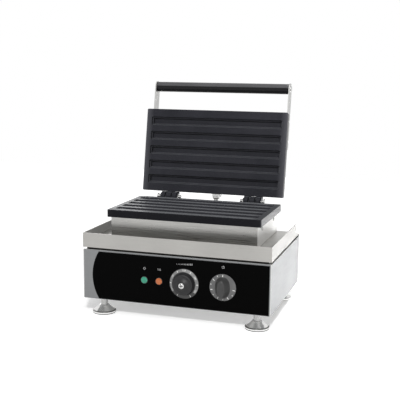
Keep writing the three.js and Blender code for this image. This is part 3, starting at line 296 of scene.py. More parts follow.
# For each lamp: where it stands, where it looks, width, height, power and opening angle
LAMPS = {
    "key_lamp": ((1.42, -4.51, 3.69), AIM, 0.45, 0.45, 190, 180),
    "top_lamp": ((0.35, -1.1, 3.2), AIM, 0.7, 0.7, 20, 180),
    "bounce_lamp": ((0.45, 0.48, 0.4), (0.45, 0.481, 0), 0.36, 1.14, 3.9, 55),
    "rim_lamp": ((-1.9, 3.0, 1.0), AIM, 1.2, 1.2, 9, 180),
}


def seen_directly(owner):
    """One where a camera, mirror or glass ray looks at the surface, otherwise zero."""
    total = 0
    for kind in ("Is Camera Ray", "Is Glossy Ray", "Is Transmission Ray"):
        ray = add_node(owner, "ShaderNodeLightPath", {}, kind)
        total = add_node(owner, "ShaderNodeMath", {0: total, 1: ray}, operation="MAXIMUM")
    return total


def paper_floor():
    paper = new_material("paper_floor")
    position = add_node(paper, "ShaderNodeNewGeometry", {}, "Position")
    distance = add_node(paper, "ShaderNodeVectorMath", {0: position}, "Value", operation="LENGTH")
    y = add_node(paper, "ShaderNodeSeparateXYZ", {"Vector": position}, "Y")
    parts = {0: spread(paper, distance, *FLOOR_GLOW), 1: spread(paper, y, *FRONT_GLOW)}
    glow = add_node(paper, "ShaderNodeMath", parts)
    parts = {0: seen_directly(paper), 1: glow}
    strength = add_node(paper, "ShaderNodeMath", parts, operation="MULTIPLY")
    more = {"Emission Color": (1, 1, 1), "Emission Strength": strength}
    return dress(paper, FLOOR_COLOUR, 0.9, more=more)


half = FLOOR_SIZE / 2
floor_mesh = bpy.data.meshes.new("floor")
floor_corners = [(-half, -half, 0), (half, -half, 0), (half, half, 0), (-half, half, 0)]
floor_mesh.from_pydata(floor_corners, [], [(0, 1, 2, 3)])
floor_mesh.materials.append(paper_floor())
floor = add("floor", floor_mesh)

world = bpy.data.worlds.new("studio")
world.use_nodes = True
scene.world = world
sky = world.node_tree.nodes["Background"]
feed(world, sky.inputs["Color"], (1, 1, 1))
feed(world, sky.inputs["Strength"], spread(world, seen_directly(world), WORLD_LIGHT, 1, 0, 1))

for name, (at, target, width, height, power, beam) in LAMPS.items():
    data = bpy.data.lights.new(name, "AREA")
    data.spread = math.radians(beam)
    data.shape = "RECTANGLE"
    data.size = width
    data.size_y = height
    data.energy = power
    lamp = add(name, data)
    aim = (Vector(target) - Vector(at)).to_track_quat("-Z", "Y")
    lamp.matrix_world = Matrix.Translation(at) @ aim.to_matrix().to_4x4()
    lamp.visible_camera = False

scene.view_settings.view_transform = "Standard"
print("lamps:", *LAMPS)

# %% [markdown]
# ## The other finishes
# Bright plating covers the pins, screws, glands and the conduit: almost a mirror, with faint haze.
# The bells of the feet are plated too, with painted shade: dark lines near the counter and over the
# lip, darker on the front feet than on the back ones. The plates carry a dark non-stick coating with
# fine flecks. The ends of the upper plate are painted paler, a painted sheen, baked-on oil dulls the
# ends of the lower one, and the walls of the pockets are darkest, with painted shade. The plates'
# cut ends are bare aluminium. The panel is gloss black, the knobs and the grip are moulded plastic
# with a fine grain, and the grip's upper side carries a paler painted highlight. Inside the cases
# there are heat-tinted heater rods, wool pads and a ceramic terminal block.

# %% Metal finishes
# The coating carries a painted sheen, and oil dulls it, between these distances from the middle of a plate
PAINTED_SHEEN_ENDS = (150 * MM, 168 * MM)
OIL = (140 * MM, 156 * MM)
# The tints of the coating where it is deep and where it is thin, and the tint of its flecks
COATING = ((0.0103, 0.0107, 0.015), (0.0168, 0.0169, 0.0225), (0.1, 0.1, 0.11))
PLATE_BRIGHT = (0.78, 0.78, 0.77)


def bright_plating():
    metal = new_material("bright_plating")
    rough = spread(metal, noise(metal, 160, detail=4.0), 0.07, 0.2)
    bump = (noise(metal, 700), 0.05, 0.02)
    return dress(metal, (0.56, 0.56, 0.555), rough, bump, {"Metallic": 1})


def foot_plating_painted_shade(name, shaded, contact_shade):
    """Plating with painted shade: a dark line where the rim meets the counter, and another over the lip."""
    metal = new_material(name)
    height = coordinate(metal, "Z")
    tint = contact_shade
    # Each colour takes over from the one below it between two heights, so the painted shade lies at the
    # counter and over the lip
    for colour, low, high in ((PLATE_BRIGHT, 1.6, 2.5), (shaded, 4.4, 5.0), (PLATE_BRIGHT, 6.0, 7.0)):
        tint = blend(metal, height, tint, colour, low * MM, high * MM)
    rough = spread(metal, noise(metal, 160, detail=4.0), 0.12, 0.24)
    return dress(metal, tint, rough, (noise(metal, 700), 0.05, 0.02), {"Metallic": 0.86})


def non_stick(name, depth, painted_sheen_tint, end_sheen):
    """The coating of the castings. A depth below one makes a darker copy: painted shade on pocket walls,
    the front and the knuckle ends.
    """
    coat = new_material(name)
    deep, thin, fleck = (shade(colour, depth) for colour in COATING)
    clouds = noise(coat, 16, detail=4.0)
    flecks = noise(coat, 1500, detail=1.0)
    tint = blend(coat, clouds, deep, thin)
    tint = blend(coat, flecks, tint, fleck, 0.66, 0.72, most=0.5)
    outwards = add_node(coat, "ShaderNodeMath", {0: coordinate(coat, "X")}, operation="ABSOLUTE")
    # Towards the ends of a plate the tint turns paler: a painted sheen
    tint = blend(coat, outwards, tint, painted_sheen_tint, *PAINTED_SHEEN_ENDS)
    more = {
        "Specular IOR Level": 0.15 * depth,
        "Sheen Weight": spread(coat, outwards, 0.53 * depth, end_sheen, *OIL),
        "Sheen Tint": (0.93, 0.96, 1),
        "Sheen Roughness": 0.4,
    }
    rough = spread(coat, clouds, 0.34, 0.46)
    return dress(coat, tint, rough, (noise(coat, 420, detail=2.0), 0.12, 0.04), more)


def machined_aluminium():
    metal = new_material("machined_aluminium")
    grains = noise(metal, 620)
    tint = blend(metal, grains, (0.08, 0.08, 0.085), (0.145, 0.145, 0.145), 0.35, 0.65)
    return dress(metal, tint, 0.42, (grains, 0.3, 0.06), {"Metallic": 1})


def tinted_heater():
    metal = new_material("heater_tinted_steel")
    tint = blend(metal, noise(metal, 35), (0.07, 0.06, 0.07), (0.2, 0.13, 0.08))
    return dress(metal, tint, 0.55, (noise(metal, 800), 0.3, 0.05), {"Metallic": 0.8})


plating = bright_plating()
# The dark lines of the feet are painted shade, darker on the front feet than on the back ones
foot_metal = {
    "front": foot_plating_painted_shade("front_foot_plating", (0.16, 0.16, 0.155), (0.015, 0.015, 0.014)),
    "back": foot_plating_painted_shade("back_foot_plating", (0.6, 0.6, 0.595), (0.5, 0.5, 0.49)),
}
coating = non_stick("non_stick_coating", 1.0, (0.02, 0.02, 0.024), 0.2)
# The upper plate's paler ends are a painted sheen
painted_sheen_coating = non_stick("painted_sheen_coating", 1.0, (0.075, 0.075, 0.085), 0.53)
# A darker copy of the coating: painted shade on pocket walls, the front and the knuckle ends
painted_shade_coating = non_stick("coating_painted_shade", 0.44, (0.012, 0.012, 0.014), 0.23)
aluminium = machined_aluminium()
heater_finish = tinted_heater()
print("finishes with the metals:", len(bpy.data.materials))

# %% Plastic and mineral finishes
# The grip goes over to its paler painted highlight between these two heights above its axis
GRIP_HIGHLIGHT = (2.4 * MM, 3.8 * MM)
# The shades of a moulded plastic, from where it is clean to where it is wiped
PLASTIC_SHADES = (0.86, 1.18)


def gloss_black():
    sheet = new_material("gloss_black_panel")
    smears = noise(sheet, 14, (1, 1, 0.4), detail=4.0)
    bump = (noise(sheet, 260), 0.03, 0.02)
    shine = {"Specular IOR Level": 0.02}
    return dress(sheet, (0.001, 0.001, 0.001), spread(sheet, smears, 0.07, 0.16), bump, shine)


def moulded_plastic(name, colour, roughness, grain=0.15):
    plastic = new_material(name)
    wiped = noise(plastic, 60, detail=4.0)
    tint = blend(plastic, wiped, *(shade(colour, factor) for factor in PLASTIC_SHADES))
    rough = spread(plastic, wiped, *(roughness + change for change in ROUGHNESS_RANGE))
    bump = (noise(plastic, 1300, detail=2.0), grain, 0.03)
    return dress(plastic, tint, rough, bump, {"Specular IOR Level": 0.4})


def grip_plastic_painted_highlight():
    """Smooth black plastic with a paler painted highlight along its upper side."""
    plastic = new_material("grip_black_plastic")
    streaks = noise(plastic, 45, (0.2, 1, 1), detail=4.0)
    painted_highlight = blend(plastic, streaks, (0.072, 0.072, 0.075), (0.115, 0.115, 0.12))
    axis_height = middle_of("handle_grip").z
    limits = [axis_height + rise for rise in GRIP_HIGHLIGHT]
    # Above the axis the colour turns to the painted highlight
    tint = blend(plastic, coordinate(plastic, "Z"), (0.014, 0.014, 0.015), painted_highlight, *limits)
    rough = spread(plastic, streaks, 0.17, 0.28)
    bump = (noise(plastic, 1100, detail=2.0), 0.05, 0.02)
    return dress(plastic, tint, rough, bump, {"Specular IOR Level": 0.1})


def lamp_plastic(name, colour, bright):
    plastic = new_material(name)
    tint = blend(plastic, noise(plastic, 240, detail=2.0), colour, bright)
    return dress(plastic, tint, 0.22, (noise(plastic, 900), 0.1, 0.03), {"Coat Weight": 0.3})


def mineral_wool():
    pad = new_material("mineral_wool")
    fibres = noise(pad, 420, (1, 0.15, 1), detail=5.0)
    tint = blend(pad, fibres, (0.5, 0.44, 0.3), (0.78, 0.73, 0.58))
    return dress(pad, tint, 0.95, (fibres, 0.8, 0.8))


def glazed_ceramic():
    block = new_material("terminal_ceramic")
    specks = noise(block, 500)
    tint = blend(block, specks, (0.8, 0.77, 0.7), (0.6, 0.55, 0.46), 0.55, 0.75)
    return dress(block, tint, 0.5, (specks, 0.2, 0.05))


panel_black = gloss_black()
black_plastic = moulded_plastic("black_plastic", (0.016, 0.016, 0.016), 0.5)
cap_plastic = moulded_plastic("dark_cap_plastic", (0.007, 0.007, 0.008), 0.5)
dial_plastic = moulded_plastic("dial_dark_plastic", (0.045, 0.045, 0.045), 0.4)
band_paint = moulded_plastic("dial_grey_band", (0.2, 0.2, 0.2), 0.34)
timer_plastic = moulded_plastic("timer_grey_plastic", (0.105, 0.105, 0.105), 0.36)
timer_grip_plastic = moulded_plastic("timer_grip_plastic", (0.034, 0.034, 0.034), 0.42)
mark_paint = moulded_plastic("mark_paint", (0.72, 0.72, 0.7), 0.5, grain=0.05)
sign_paint = moulded_plastic("sign_paint", (0.4, 0.4, 0.4), 0.5, grain=0.05)
grip_plastic = grip_plastic_painted_highlight()
green_lens = lamp_plastic("green_lens", (0.003, 0.225, 0.128), (0.012, 0.29, 0.175))
orange_lens = lamp_plastic("orange_lens", (0.4, 0.085, 0.008), (0.5, 0.125, 0.018))
wool = mineral_wool()
ceramic = glazed_ceramic()
print("finishes in all:", len(bpy.data.materials))

# %% [markdown]
# ## Softening the kept nodes
# A CAD solid has knife-sharp edges, and real sheet has a small radius at each fold that catches the
# light. The mesh of a CAD node stays untouched, so the softening is a stack of modifiers: weld the
# corners, clear the flat triangles away, bevel what is left, and let the large faces lead the
# shading.

# %% Softening
# The radius of a fold, in millimetres, and the steps that a rounded edge is drawn in
FOLD = 0.5
EDGE_SEGMENTS = 3
# Corners nearer than this are one, and faces at a smaller angle than this are one flat
WELD_DISTANCE = 0.001 * MM
FLAT_ANGLE = math.radians(0.5)


def soften(piece, edge, limit=35):
    """Rounds the sharp edges of a piece, by that many millimetres, and keeps its flats flat."""
    piece.data.shade_smooth()
    bevel = piece.modifiers.new("rounded_edges", "BEVEL")
    bevel.width = edge * MM
    bevel.segments = EDGE_SEGMENTS
    bevel.angle_limit = math.radians(limit)
    shading = piece.modifiers.new("flat_faces_lead", "WEIGHTED_NORMAL")
    shading.keep_sharp = True


def keep(node, finish):
    """Gives a CAD node its finish and softens its folds with modifiers alone."""
    piece = nodes[node]
    piece.data.materials.clear()
    piece.data.materials.append(finish)
    weld = piece.modifiers.new("welded_corners", "WELD")
    weld.merge_threshold = WELD_DISTANCE
    flats = piece.modifiers.new("clean_flats", "DECIMATE")
    flats.decimate_type = "DISSOLVE"
    flats.angle_limit = FLAT_ANGLE
    soften(piece, FOLD)


kept = {
    "body_shell": steel["body"],
    # The underside is a paler copy of the steel, painted light that the feet mirror
    "base_plate": steel["bright"],
    "rear_panel": steel["body"],
    "terminal_block": ceramic,
    # The frame under the tray is a near-black copy of the steel: painted shade in the gap
    "tray_plinth": steel["dark"],
    "drip_tray": steel["tray"],
    "pedestal": steel["case"],
    "upper_cover": steel["case"],
}
for half in ("lower", "upper"):
    kept[f"{half}_heat_shield"] = steel["case"]
    kept[f"{half}_insulation"] = wool
    kept[f"{half}_heater"] = heater_finish
    for side in ("left", "right"):
        kept[f"{half}_shield_screw_{side}"] = plating
for control in ("thermostat", "timer"):
    kept[f"{control}_body"] = black_plastic
    kept[f"{control}_spindle"] = plating
for node, finish in kept.items():
    keep(node, finish)
print("kept nodes:", len(kept))

# %% [markdown]
# ## Faces with a finish of their own
# A folded sheet looks different from face to face, because each face mirrors something else. Some
# of that is painted here: some faces of a kept node get a second finish, picked by the way they look:
# the right ends of the tray, the pedestal, the frame under the tray and the lid's cover, the tray's
# floor, the cover's back, and the right side, the deck and the folds of the body. The paler steels
# on the right ends, the right side and the deck are painted light, and on the folds a painted
# highlight.

# %% Second finishes
RIGHT, BACK, UP = 0, 1, 2
# How squarely a face has to look along an axis, and how far a fold at least looks along two
FACING = 0.9
FOLD_TURN = 0.15


def repaint(mesh, finish, chosen):
    """Gives one more finish to the faces that a test picks out."""
    mesh.materials.append(finish)
    for face in mesh.polygons:
        if chosen(face):
            face.material_index = len(mesh.materials) - 1


def refinish(node, finish, axis):
    repaint(nodes[node].data, finish, lambda face: face.normal[axis] > FACING)


def is_fold_or_deck(face):
    return min(abs(face.normal.x), abs(face.normal.y)) > FOLD_TURN or face.normal.z > FACING


# Paler copies of the steel on right faces, the deck and the folds paint in light
refinish("tray_plinth", steel["pale"], RIGHT)
refinish("drip_tray", steel["end"], RIGHT)
refinish("drip_tray", steel["floor"], UP)
refinish("pedestal", steel["pale"], RIGHT)
refinish("upper_cover", steel["end"], RIGHT)
refinish("upper_cover", steel["back"], BACK)
repaint(nodes["body_shell"].data, steel["bright"], is_fold_or_deck)
refinish("body_shell", steel["side"], RIGHT)
# The bevels of the body take the finish of its folds, a paler steel that paints a highlight along them
nodes["body_shell"].modifiers["rounded_edges"].material = 1
print("finishes of the body:", [material.name for material in nodes["body_shell"].data.materials])

# %% [markdown]
# ## Mesh helpers
# Most of the fine pieces are turned, or cut from flat stock, or skinned over a stack of outlines.
# Short functions make those meshes. The last one puts a mesh in the scene as a piece: it moves the
# mesh to its place, gives it a finish, lets it ride on its body, hides the CAD nodes it stands for
# and softens its edges.

# %% Mesh helpers
# How many sides a turned piece has, when it is small, of common size, or wide
SMALL, COMMON, WIDE = 48, 72, 96


def mesh_from(bm):
    bmesh.ops.recalc_face_normals(bm, faces=bm.faces)
    mesh = bpy.data.meshes.new("shape")
    bm.to_mesh(mesh)
    bm.free()
    return mesh


def stitch(bm, first, second):
    """Faces between two rings. A ring of one point is the tip of a cone."""
    count = max(len(first), len(second))
    for i in range(count):
        j = (i + 1) % count
        corners = [first[i % len(first)], first[j % len(first)]]
        corners += [second[j % len(second)], second[i % len(second)]]
        bm.faces.new(list(dict.fromkeys(corners)))


def turned(outline, sides=COMMON):
    """A mesh turned about z from (radius, height) points. It closes on the axis, or on itself."""
    bm = bmesh.new()
    rings = []
    for radius, height in outline:
        angles = [2 * math.pi * i / sides for i in range(sides if radius else 1)]
        points = [(radius * math.cos(a), radius * math.sin(a), height) for a in angles]
        rings.append([bm.verts.new(point) for point in points])
    for first, second in zip(rings, rings[1:]):
        if len(first) + len(second) > 2:
            stitch(bm, first, second)
    if len(rings[0]) > 1:
        stitch(bm, rings[-1], rings[0])
    return mesh_from(bm)


def slab(outlines, bottom, top):
    """Flat stock cut to closed outlines in x and y. Outlines inside the first are holes."""
    bm = bmesh.new()
    edges = []
    for outline in outlines:
        ring = [bm.verts.new((x, y, bottom)) for x, y in outline]
        edges += [bm.edges.new((a, b)) for a, b in zip(ring, ring[1:] + ring[:1])]
    bmesh.ops.triangle_fill(bm, edges=edges, use_beauty=True)
    lifted = bmesh.ops.extrude_face_region(bm, geom=bm.faces[:])["geom"]
    top_points = [item for item in lifted if isinstance(item, bmesh.types.BMVert)]
    bmesh.ops.translate(bm, verts=top_points, vec=(0, 0, top - bottom))
    return mesh_from(bm)


def loft(rings, tube=False):
    """A skin over rings with the same number of points. Caps close it, or a tube closes on itself."""
    bm = bmesh.new()
    rows = [[bm.verts.new(point) for point in ring] for ring in rings]
    for first, second in zip(rows, rows[1:]):
        stitch(bm, first, second)
    if tube:
        stitch(bm, rows[-1], rows[0])
    else:
        bm.faces.new(rows[0])
        bm.faces.new(rows[-1])
    return mesh_from(bm)


def joined(meshes):
    """Several closed meshes as one."""
    bm = bmesh.new()
    for mesh in meshes:
        bm.from_mesh(mesh)
        bpy.data.meshes.remove(mesh)
    return mesh_from(bm)


def put(name, mesh, place, finish, body, slot, *replaced, edge=0, limit=35):
    """Adds a mesh as a piece, in the place of the CAD nodes it stands for.

    Without a finish the mesh keeps its own, and without a body it is left free.
    """
    mesh.transform(place)
    if finish:
        mesh.materials.append(finish)
    mesh.name = name
    piece = add(name, mesh)
    if body:
        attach(piece, body)
    if replaced:
        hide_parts(*replaced)
    if edge:
        soften(piece, edge, limit)
    return piece


# %% Outline helpers


def scaled(points):
    """Points of an outline in millimetres, as metres."""
    return [(x * MM, y * MM) for x, y in points]


def arc(x, y, radius, start, end, steps=12, rise=None):
    """Points along an arc, with its angles in degrees. With a rise it is part of an ellipse."""
    angles = [math.radians(start + (end - start) * i / steps) for i in range(steps + 1)]
    return [(x + radius * math.cos(a), y + (rise or radius) * math.sin(a)) for a in angles]


def circle(x, y, radius, points=48):
    return arc(x, y, radius, 0, 360, points)[:-1]


# %% [markdown]
# ## The feet
# Each foot is a plated steel bell with a flared rim, on a threaded leg. A bell is a shape that a
# lathe makes, so its outline is turned about the leg's axis. The waist is drawn a little inside the
# straight line from rim to neck, which gives the slight flare.

# %% Feet
# The lip of a bell, in millimetres: how far in from the widest radius, and how high
BELL_LIP = ((1.5, 0), (0.4, 0.5), (0, 1.5), (0, 4.4), (0.35, 5.2), (1.1, 5.6), (1.9, 5.7), (2.3, 6.2))
BELL_NECK = 11.2 * MM
BELL_EDGE = 0.9 * MM
BELL_BEND = 0.7 * MM
BELL_STEPS = 10
LEG_GAP = 0.3 * MM
THREAD_PITCH = 2.0 * MM
THREAD_DEPTH = 0.5 * MM


def bell_outline(radius, height, leg_radius):
    points = [(0, 0), *((radius - inset * MM, up * MM) for inset, up in BELL_LIP)]
    foot, bottom = points[-1]
    tall = height - BELL_EDGE - bottom
    for i in range(1, BELL_STEPS + 1):
        share = i / BELL_STEPS
        straight = foot + (BELL_NECK - foot) * share
        points.append((straight - BELL_BEND * math.sin(math.pi * share), bottom + tall * share))
    bore = leg_radius + LEG_GAP
    points += [(BELL_NECK - BELL_EDGE, height), (bore, height), (bore, height / 2), (0, height / 2)]
    return points


def leg_outline(radius, low, high):
    core = radius - THREAD_DEPTH
    points = [(0, low), (core, low)]
    for i in range(int((high - low) / THREAD_PITCH)):
        # One turn of thread: how far along it is, and the radius there
        for share, r in ((0.2, core), (0.45, radius), (0.55, radius), (0.8, core)):
            points.append((r, low + (i + share) * THREAD_PITCH))
    return points + [(core, high), (0, high)]


for end in ("front", "back"):
    for side in ("left", "right"):
        cup, post = f"foot_cup_{end}_{side}", f"foot_post_{end}_{side}"
        cup_low, cup_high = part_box(cup)
        post_low, post_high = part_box(post)
        place = Matrix.Translation(((cup_low.x + cup_high.x) / 2, (cup_low.y + cup_high.y) / 2, 0))
        leg_radius = (post_high.x - post_low.x) / 2
        bell = turned(bell_outline((cup_high.x - cup_low.x) / 2, cup_high.z, leg_radius))
        put(f"bell_{end}_{side}", bell, place, foot_metal[end], "base", "bright_metal", cup, edge=0.25)
        leg = turned(leg_outline(leg_radius, post_low.z, post_high.z), SMALL)
        put(f"leg_{end}_{side}", leg, place, plating, "base", "bright_metal", post, edge=0.08)
print("feet stand", round(cup_high.x - cup_low.x, 4), "wide")

# %% [markdown]
# ## The front panel
# The black panel is a thin gloss sheet stuck on the body. Three of its sides are straight and the
# left one is an arc. It is cut from flat stock: the outline holds a real arc, and the four round
# holes for lamps and spindles are outlines inside it.

# %% Front panel
ARC_STEPS = 40
HOLE_GAP = 0.3 * MM
BARREL_RADIUS = 6.0 * MM
SPINDLE_RADIUS = 3.0 * MM
CONTROLS = ("power_lamp", "heating_lamp", "thermostat_spindle", "timer_spindle")

panel_low, panel_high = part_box("front_overlay")
panel_face = panel_low.y
upright = Matrix.Rotation(math.pi / 2, 4, "X")


def panel_outline():
    """Two corners on the right, and an arc that bulges to the left."""
    corners = nodes["front_overlay"].data.vertices
    corner_x = min(vertex.co.x for vertex in corners if vertex.co.z > panel_high.z - MM)
    bulge = corner_x - panel_low.x
    half = (panel_high.z - panel_low.z) / 2
    radius = (half**2 + bulge**2) / (2 * bulge)
    reach = math.degrees(math.asin(half / radius))
    centre = Vector((panel_low.x + radius, panel_low.z + half))
    side = arc(centre.x, centre.y, radius, 180 - reach, 180 + reach, ARC_STEPS)
    return [(panel_high.x, panel_low.z), (panel_high.x, panel_high.z), *side]


def control_place(node):
    """The frame of a knob or lamp: z points out of the panel, from its face."""
    low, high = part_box(node)
    return Matrix.Translation(((low.x + high.x) / 2, panel_face, (low.z + high.z) / 2)) @ upright


def reach_out(node):
    """How far the back and the front of a control stand from the panel, and its radius."""
    low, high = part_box(node)
    return panel_face - high.y, panel_face - low.y, (high.x - low.x) / 2


control_centres = {node: control_place(node).translation for node in CONTROLS}
outlines = [panel_outline()]
for node, centre in control_centres.items():
    radius = BARREL_RADIUS if node.endswith("lamp") else SPINDLE_RADIUS
    outlines.append(circle(centre.x, centre.z, radius + HOLE_GAP))
panel_place = Matrix.Translation((0, panel_face, 0)) @ upright
sheet = slab(outlines, panel_face - panel_high.y, 0)
put("front_panel", sheet, panel_place, panel_black, "base", "gloss_black_panel", "front_overlay", edge=0.15)
print("panel:", round(panel_high.x - panel_low.x, 4), "by", round(panel_high.z - panel_low.z, 4))

# %% [markdown]
# ## The lamps
# A green lamp shows that the machine has power and an orange one that it heats. Each is a domed
# plastic lens on a barrel that snaps into the panel. The dome is an arc, turned, and the faces near
# its edge are given the black of the lamp's rim.

# %% Lamps
LENS_SEAT = 0.3 * MM
LENS_WALL = 0.7 * MM
RIM_SHARE = 0.88
# For each lamp: its CAD node, the slot of its lens, and its finish
LENSES = (("power_lamp", "green_lens", green_lens), ("heating_lamp", "orange_lens", orange_lens))


def lamp_outline(back, crown, radius):
    points = [(0, back), (BARREL_RADIUS, back), (BARREL_RADIUS, LENS_SEAT), (radius, LENS_SEAT)]
    spring = LENS_SEAT + LENS_WALL
    dome = arc(0, spring, radius, 0, 90, rise=crown - spring)
    return points + dome[:-1] + [(0, crown)]


for node, slot, lens in LENSES:
    dome = turned(lamp_outline(*reach_out(node)))
    rim = RIM_SHARE * reach_out(node)[2]
    dome.materials.append(lens)
    repaint(dome, black_plastic, lambda face: face.center.to_2d().length > rim)
    name = node.replace("lamp", "lens")
    put(name, dome, control_place(node), None, "base", slot, node, edge=0.2)
print("lens radius", round(reach_out("power_lamp")[2], 4))

# %% [markdown]
# ## The thermostat knob
# The knob has two parts on one spindle. Behind is a grey dial whose rim slopes back, with pale marks
# and the plain numbers of its scale. In front is a dark cap with a rounded shoulder and a dished face,
# held by a plated screw with a cross slot. All of them turn together.

# %% Dial helpers
KNOB_BORE = 3.3 * MM
MARK_RISE = 0.08 * MM
# The step at the back edge of a disc: how far in, and how far forward
DISC_STEP = (0.8 * MM, 0.6 * MM)


def slope(flat, radius, top, drop):
    """Gives the height at any radius of a rim that slopes down from its flat part to its edge."""
    return lambda r: top - drop * (r - flat) / (radius - flat)


def disc(back, top, radius, flat, drop):
    """A disc with a bore, a small step at its back and a sloping rim."""
    outline = [(KNOB_BORE, back), (radius - DISC_STEP[0], back), (radius, back + DISC_STEP[1])]
    outline += [(radius, top - drop), (flat, top), (KNOB_BORE, top)]
    return turned(outline, WIDE)


def mark(angle, inner, outer, width, height_at):
    """A thin painted bar along a radius, that follows a sloping rim. Zero points up, clockwise."""
    half = width / 2
    corners = ((-half, -MARK_RISE), (half, -MARK_RISE), (half, MARK_RISE), (-half, MARK_RISE))
    mesh = loft([[(x, r, height_at(r) + lift) for x, lift in corners] for r in (inner, outer)])
    mesh.transform(Matrix.Rotation(-math.radians(angle), 4, "Z"))
    return mesh


def number(text, angle, radius, size, height_at):
    """A number on the rim, upright when its place is at the top."""
    curve = bpy.data.curves.new("number", "FONT")
    curve.body = text
    curve.size = size
    curve.align_x = "CENTER"
    curve.align_y = "CENTER"
    curve.extrude = MARK_RISE
    curve.resolution_u = 3
    writing = bpy.data.objects.new("number", curve)
    mesh = bpy.data.meshes.new_from_object(writing)
    tip = math.atan2(height_at(radius + MM) - height_at(radius), MM)
    rim = Matrix.Translation((0, radius, height_at(radius))) @ Matrix.Rotation(tip, 4, "X")
    mesh.transform(Matrix.Rotation(-math.radians(angle), 4, "Z") @ rim)
    bpy.data.objects.remove(writing)
    bpy.data.curves.remove(curve)
    return mesh


def painted_band(inner, outer, height_at, reach):
    """A pale sector over the top of a dial, as thin as its print, to an angle on either side."""
    corners = ((inner, -MARK_RISE), (outer, -MARK_RISE), (outer, MARK_RISE / 2), (inner, MARK_RISE / 2))
    sections = []
    for angle in range(-reach, reach + 1, 4):
        across = math.radians(90 - angle)
        x, y = math.cos(across), math.sin(across)
        sections.append([(r * x, r * y, height_at(r) + lift) for r, lift in corners])
    return loft(sections)


# %% Thermostat knob
# The dial is flat to a little past the cap, and slopes from there
DIAL_FLAT = 0.8 * MM
DIAL_SLOPE = 3.2 * MM
# The band starts this far past the flat part, and ends this far inside the dial's edge
BAND_INSETS = (0.5 * MM, 0.9 * MM)
# The middle of a number, and both ends of a mark, measured from the dial's edge
NUMBER_INSET = 3.5 * MM
MARK_INSETS = (5 * MM, 1.4 * MM)
MARK_WIDTH = 1.4 * MM
NUMBER_HEIGHT = 4.8 * MM
BAND_REACH = 128
# The scale has this many places, each this many degrees after the one before. Every other place
# has a number, and the numbers go up by the unit
SCALE_PLACES = 11
SCALE_STEP = 30
SCALE_UNIT = 50
CAP_EDGE = 0.4 * MM
CAP_RIM = 3.4 * MM
CAP_SHOULDER = 2.2 * MM
CAP_ROUNDING = 2.0 * MM
CAP_BOSS = 7.4 * MM
# The cap's face from its shoulder to its boss, in even steps, in millimetres from the rim
CAP_DISH = (-0.5572, -0.8751, -0.8173, -0.4086, 0.5667, 1.5111, 2.4556, 3.4)
# The recess of the screw, in millimetres: radius, and depth under the cap's top
CAP_RECESS = ((2.3, 0), (2.3, 4.3), (0, 4.3), (0, 6.7), (3.3, 6.7))


def thermostat_dial():
    back, top, radius = reach_out("thermostat_dial")
    flat = reach_out("thermostat_cap")[2] + DIAL_FLAT
    place = control_place("thermostat_dial")
    height_at = slope(flat, radius, top, DIAL_SLOPE)
    dial = disc(back, top, radius, flat, DIAL_SLOPE)
    rides = ("temperature_control", "dial_grey")
    put("dial_ring", dial, place, dial_plastic, *rides, "thermostat_dial", edge=0.35, limit=8)
    inner, outer = flat + BAND_INSETS[0], radius - BAND_INSETS[1]
    band = painted_band(inner, outer, height_at, BAND_REACH)
    put("dial_band", band, place, band_paint, *rides)
    inner, outer = (radius - inset for inset in MARK_INSETS)
    marks = []
    for i in range(SCALE_PLACES):
        angle = SCALE_STEP * (i - SCALE_PLACES // 2)
        if i % 2:
            text = str(SCALE_UNIT * (i // 2 + 1))
            marks.append(number(text, angle, radius - NUMBER_INSET, NUMBER_HEIGHT, height_at))
        else:
            marks.append(mark(angle, inner, outer, MARK_WIDTH, height_at))
    put("dial_marks", joined(marks), place, mark_paint, *rides)


def thermostat_cap():
    back, top, radius = reach_out("thermostat_cap")
    rim = top - CAP_RIM
    inside = radius - CAP_SHOULDER - CAP_ROUNDING
    outline = [(KNOB_BORE, back), (radius - CAP_EDGE, back), (radius, back + CAP_EDGE)]
    outline += arc(inside, rim - CAP_ROUNDING, CAP_ROUNDING, 0, 90, 6)
    for i, lift in enumerate(CAP_DISH, 1):
        outline.append((inside + (CAP_BOSS - inside) * i / len(CAP_DISH), rim + lift * MM))
    outline += [(r * MM, top - depth * MM) for r, depth in CAP_RECESS]
    place = control_place("thermostat_cap")
    rides = ("temperature_control", "dark_cap")
    put("knob_cap", turned(outline, WIDE), place, cap_plastic, *rides, "thermostat_cap", edge=0.25)


thermostat_dial()
thermostat_cap()
print("dial radius", round(reach_out("thermostat_dial")[2], 4))

# %% [markdown]
# ## Slotted and crossed screws
# A screw is a turned shape with a slot cut in its head. The cut is a Boolean: a small box is taken
# out of the head, and the result is kept as a plain mesh. One helper does the cutting for every
# piece that needs it.

# %% Cutting helpers


def bar(low, high):
    """A closed box between two corners, used as a cutter."""
    ring = ((low[0], low[1]), (high[0], low[1]), (high[0], high[1]), (low[0], high[1]))
    return loft([[(x, y, z) for x, y in ring] for z in (low[2], high[2])])


def combined(mesh, others, operation):
    """Cuts closed meshes out of a mesh, or fuses them with it, with Boolean modifiers."""
    whole = add("blank", mesh)
    helpers = [add("helper", other) for other in others]
    for helper in helpers:
        step = whole.modifiers.new(operation.lower(), "BOOLEAN")
        step.operation = operation
        step.object = helper
        step.solver = "EXACT"
    result = whole.evaluated_get(bpy.context.evaluated_depsgraph_get())
    result = bpy.data.meshes.new_from_object(result)
    for item in (whole, *helpers):
        spent = item.data
        bpy.data.objects.remove(item)
        bpy.data.meshes.remove(spent)
    return result


# %% Screws
# A screw head's wall goes up by this share of its height, and the rest is domed
WALL_SHARE = 0.45
SLOT_SHARE = 0.25
# A cross slot, as shares of the head: how far it reaches and how high its floor is
CROSS = (0.72, 0.15)
# Head radius, head height and shank radius of the small screws and of the handle's bolts
SCREW = (3.6 * MM, 2.0 * MM, 2.0 * MM)
BOLT = (6.0 * MM, 3.0 * MM, 3.0 * MM)
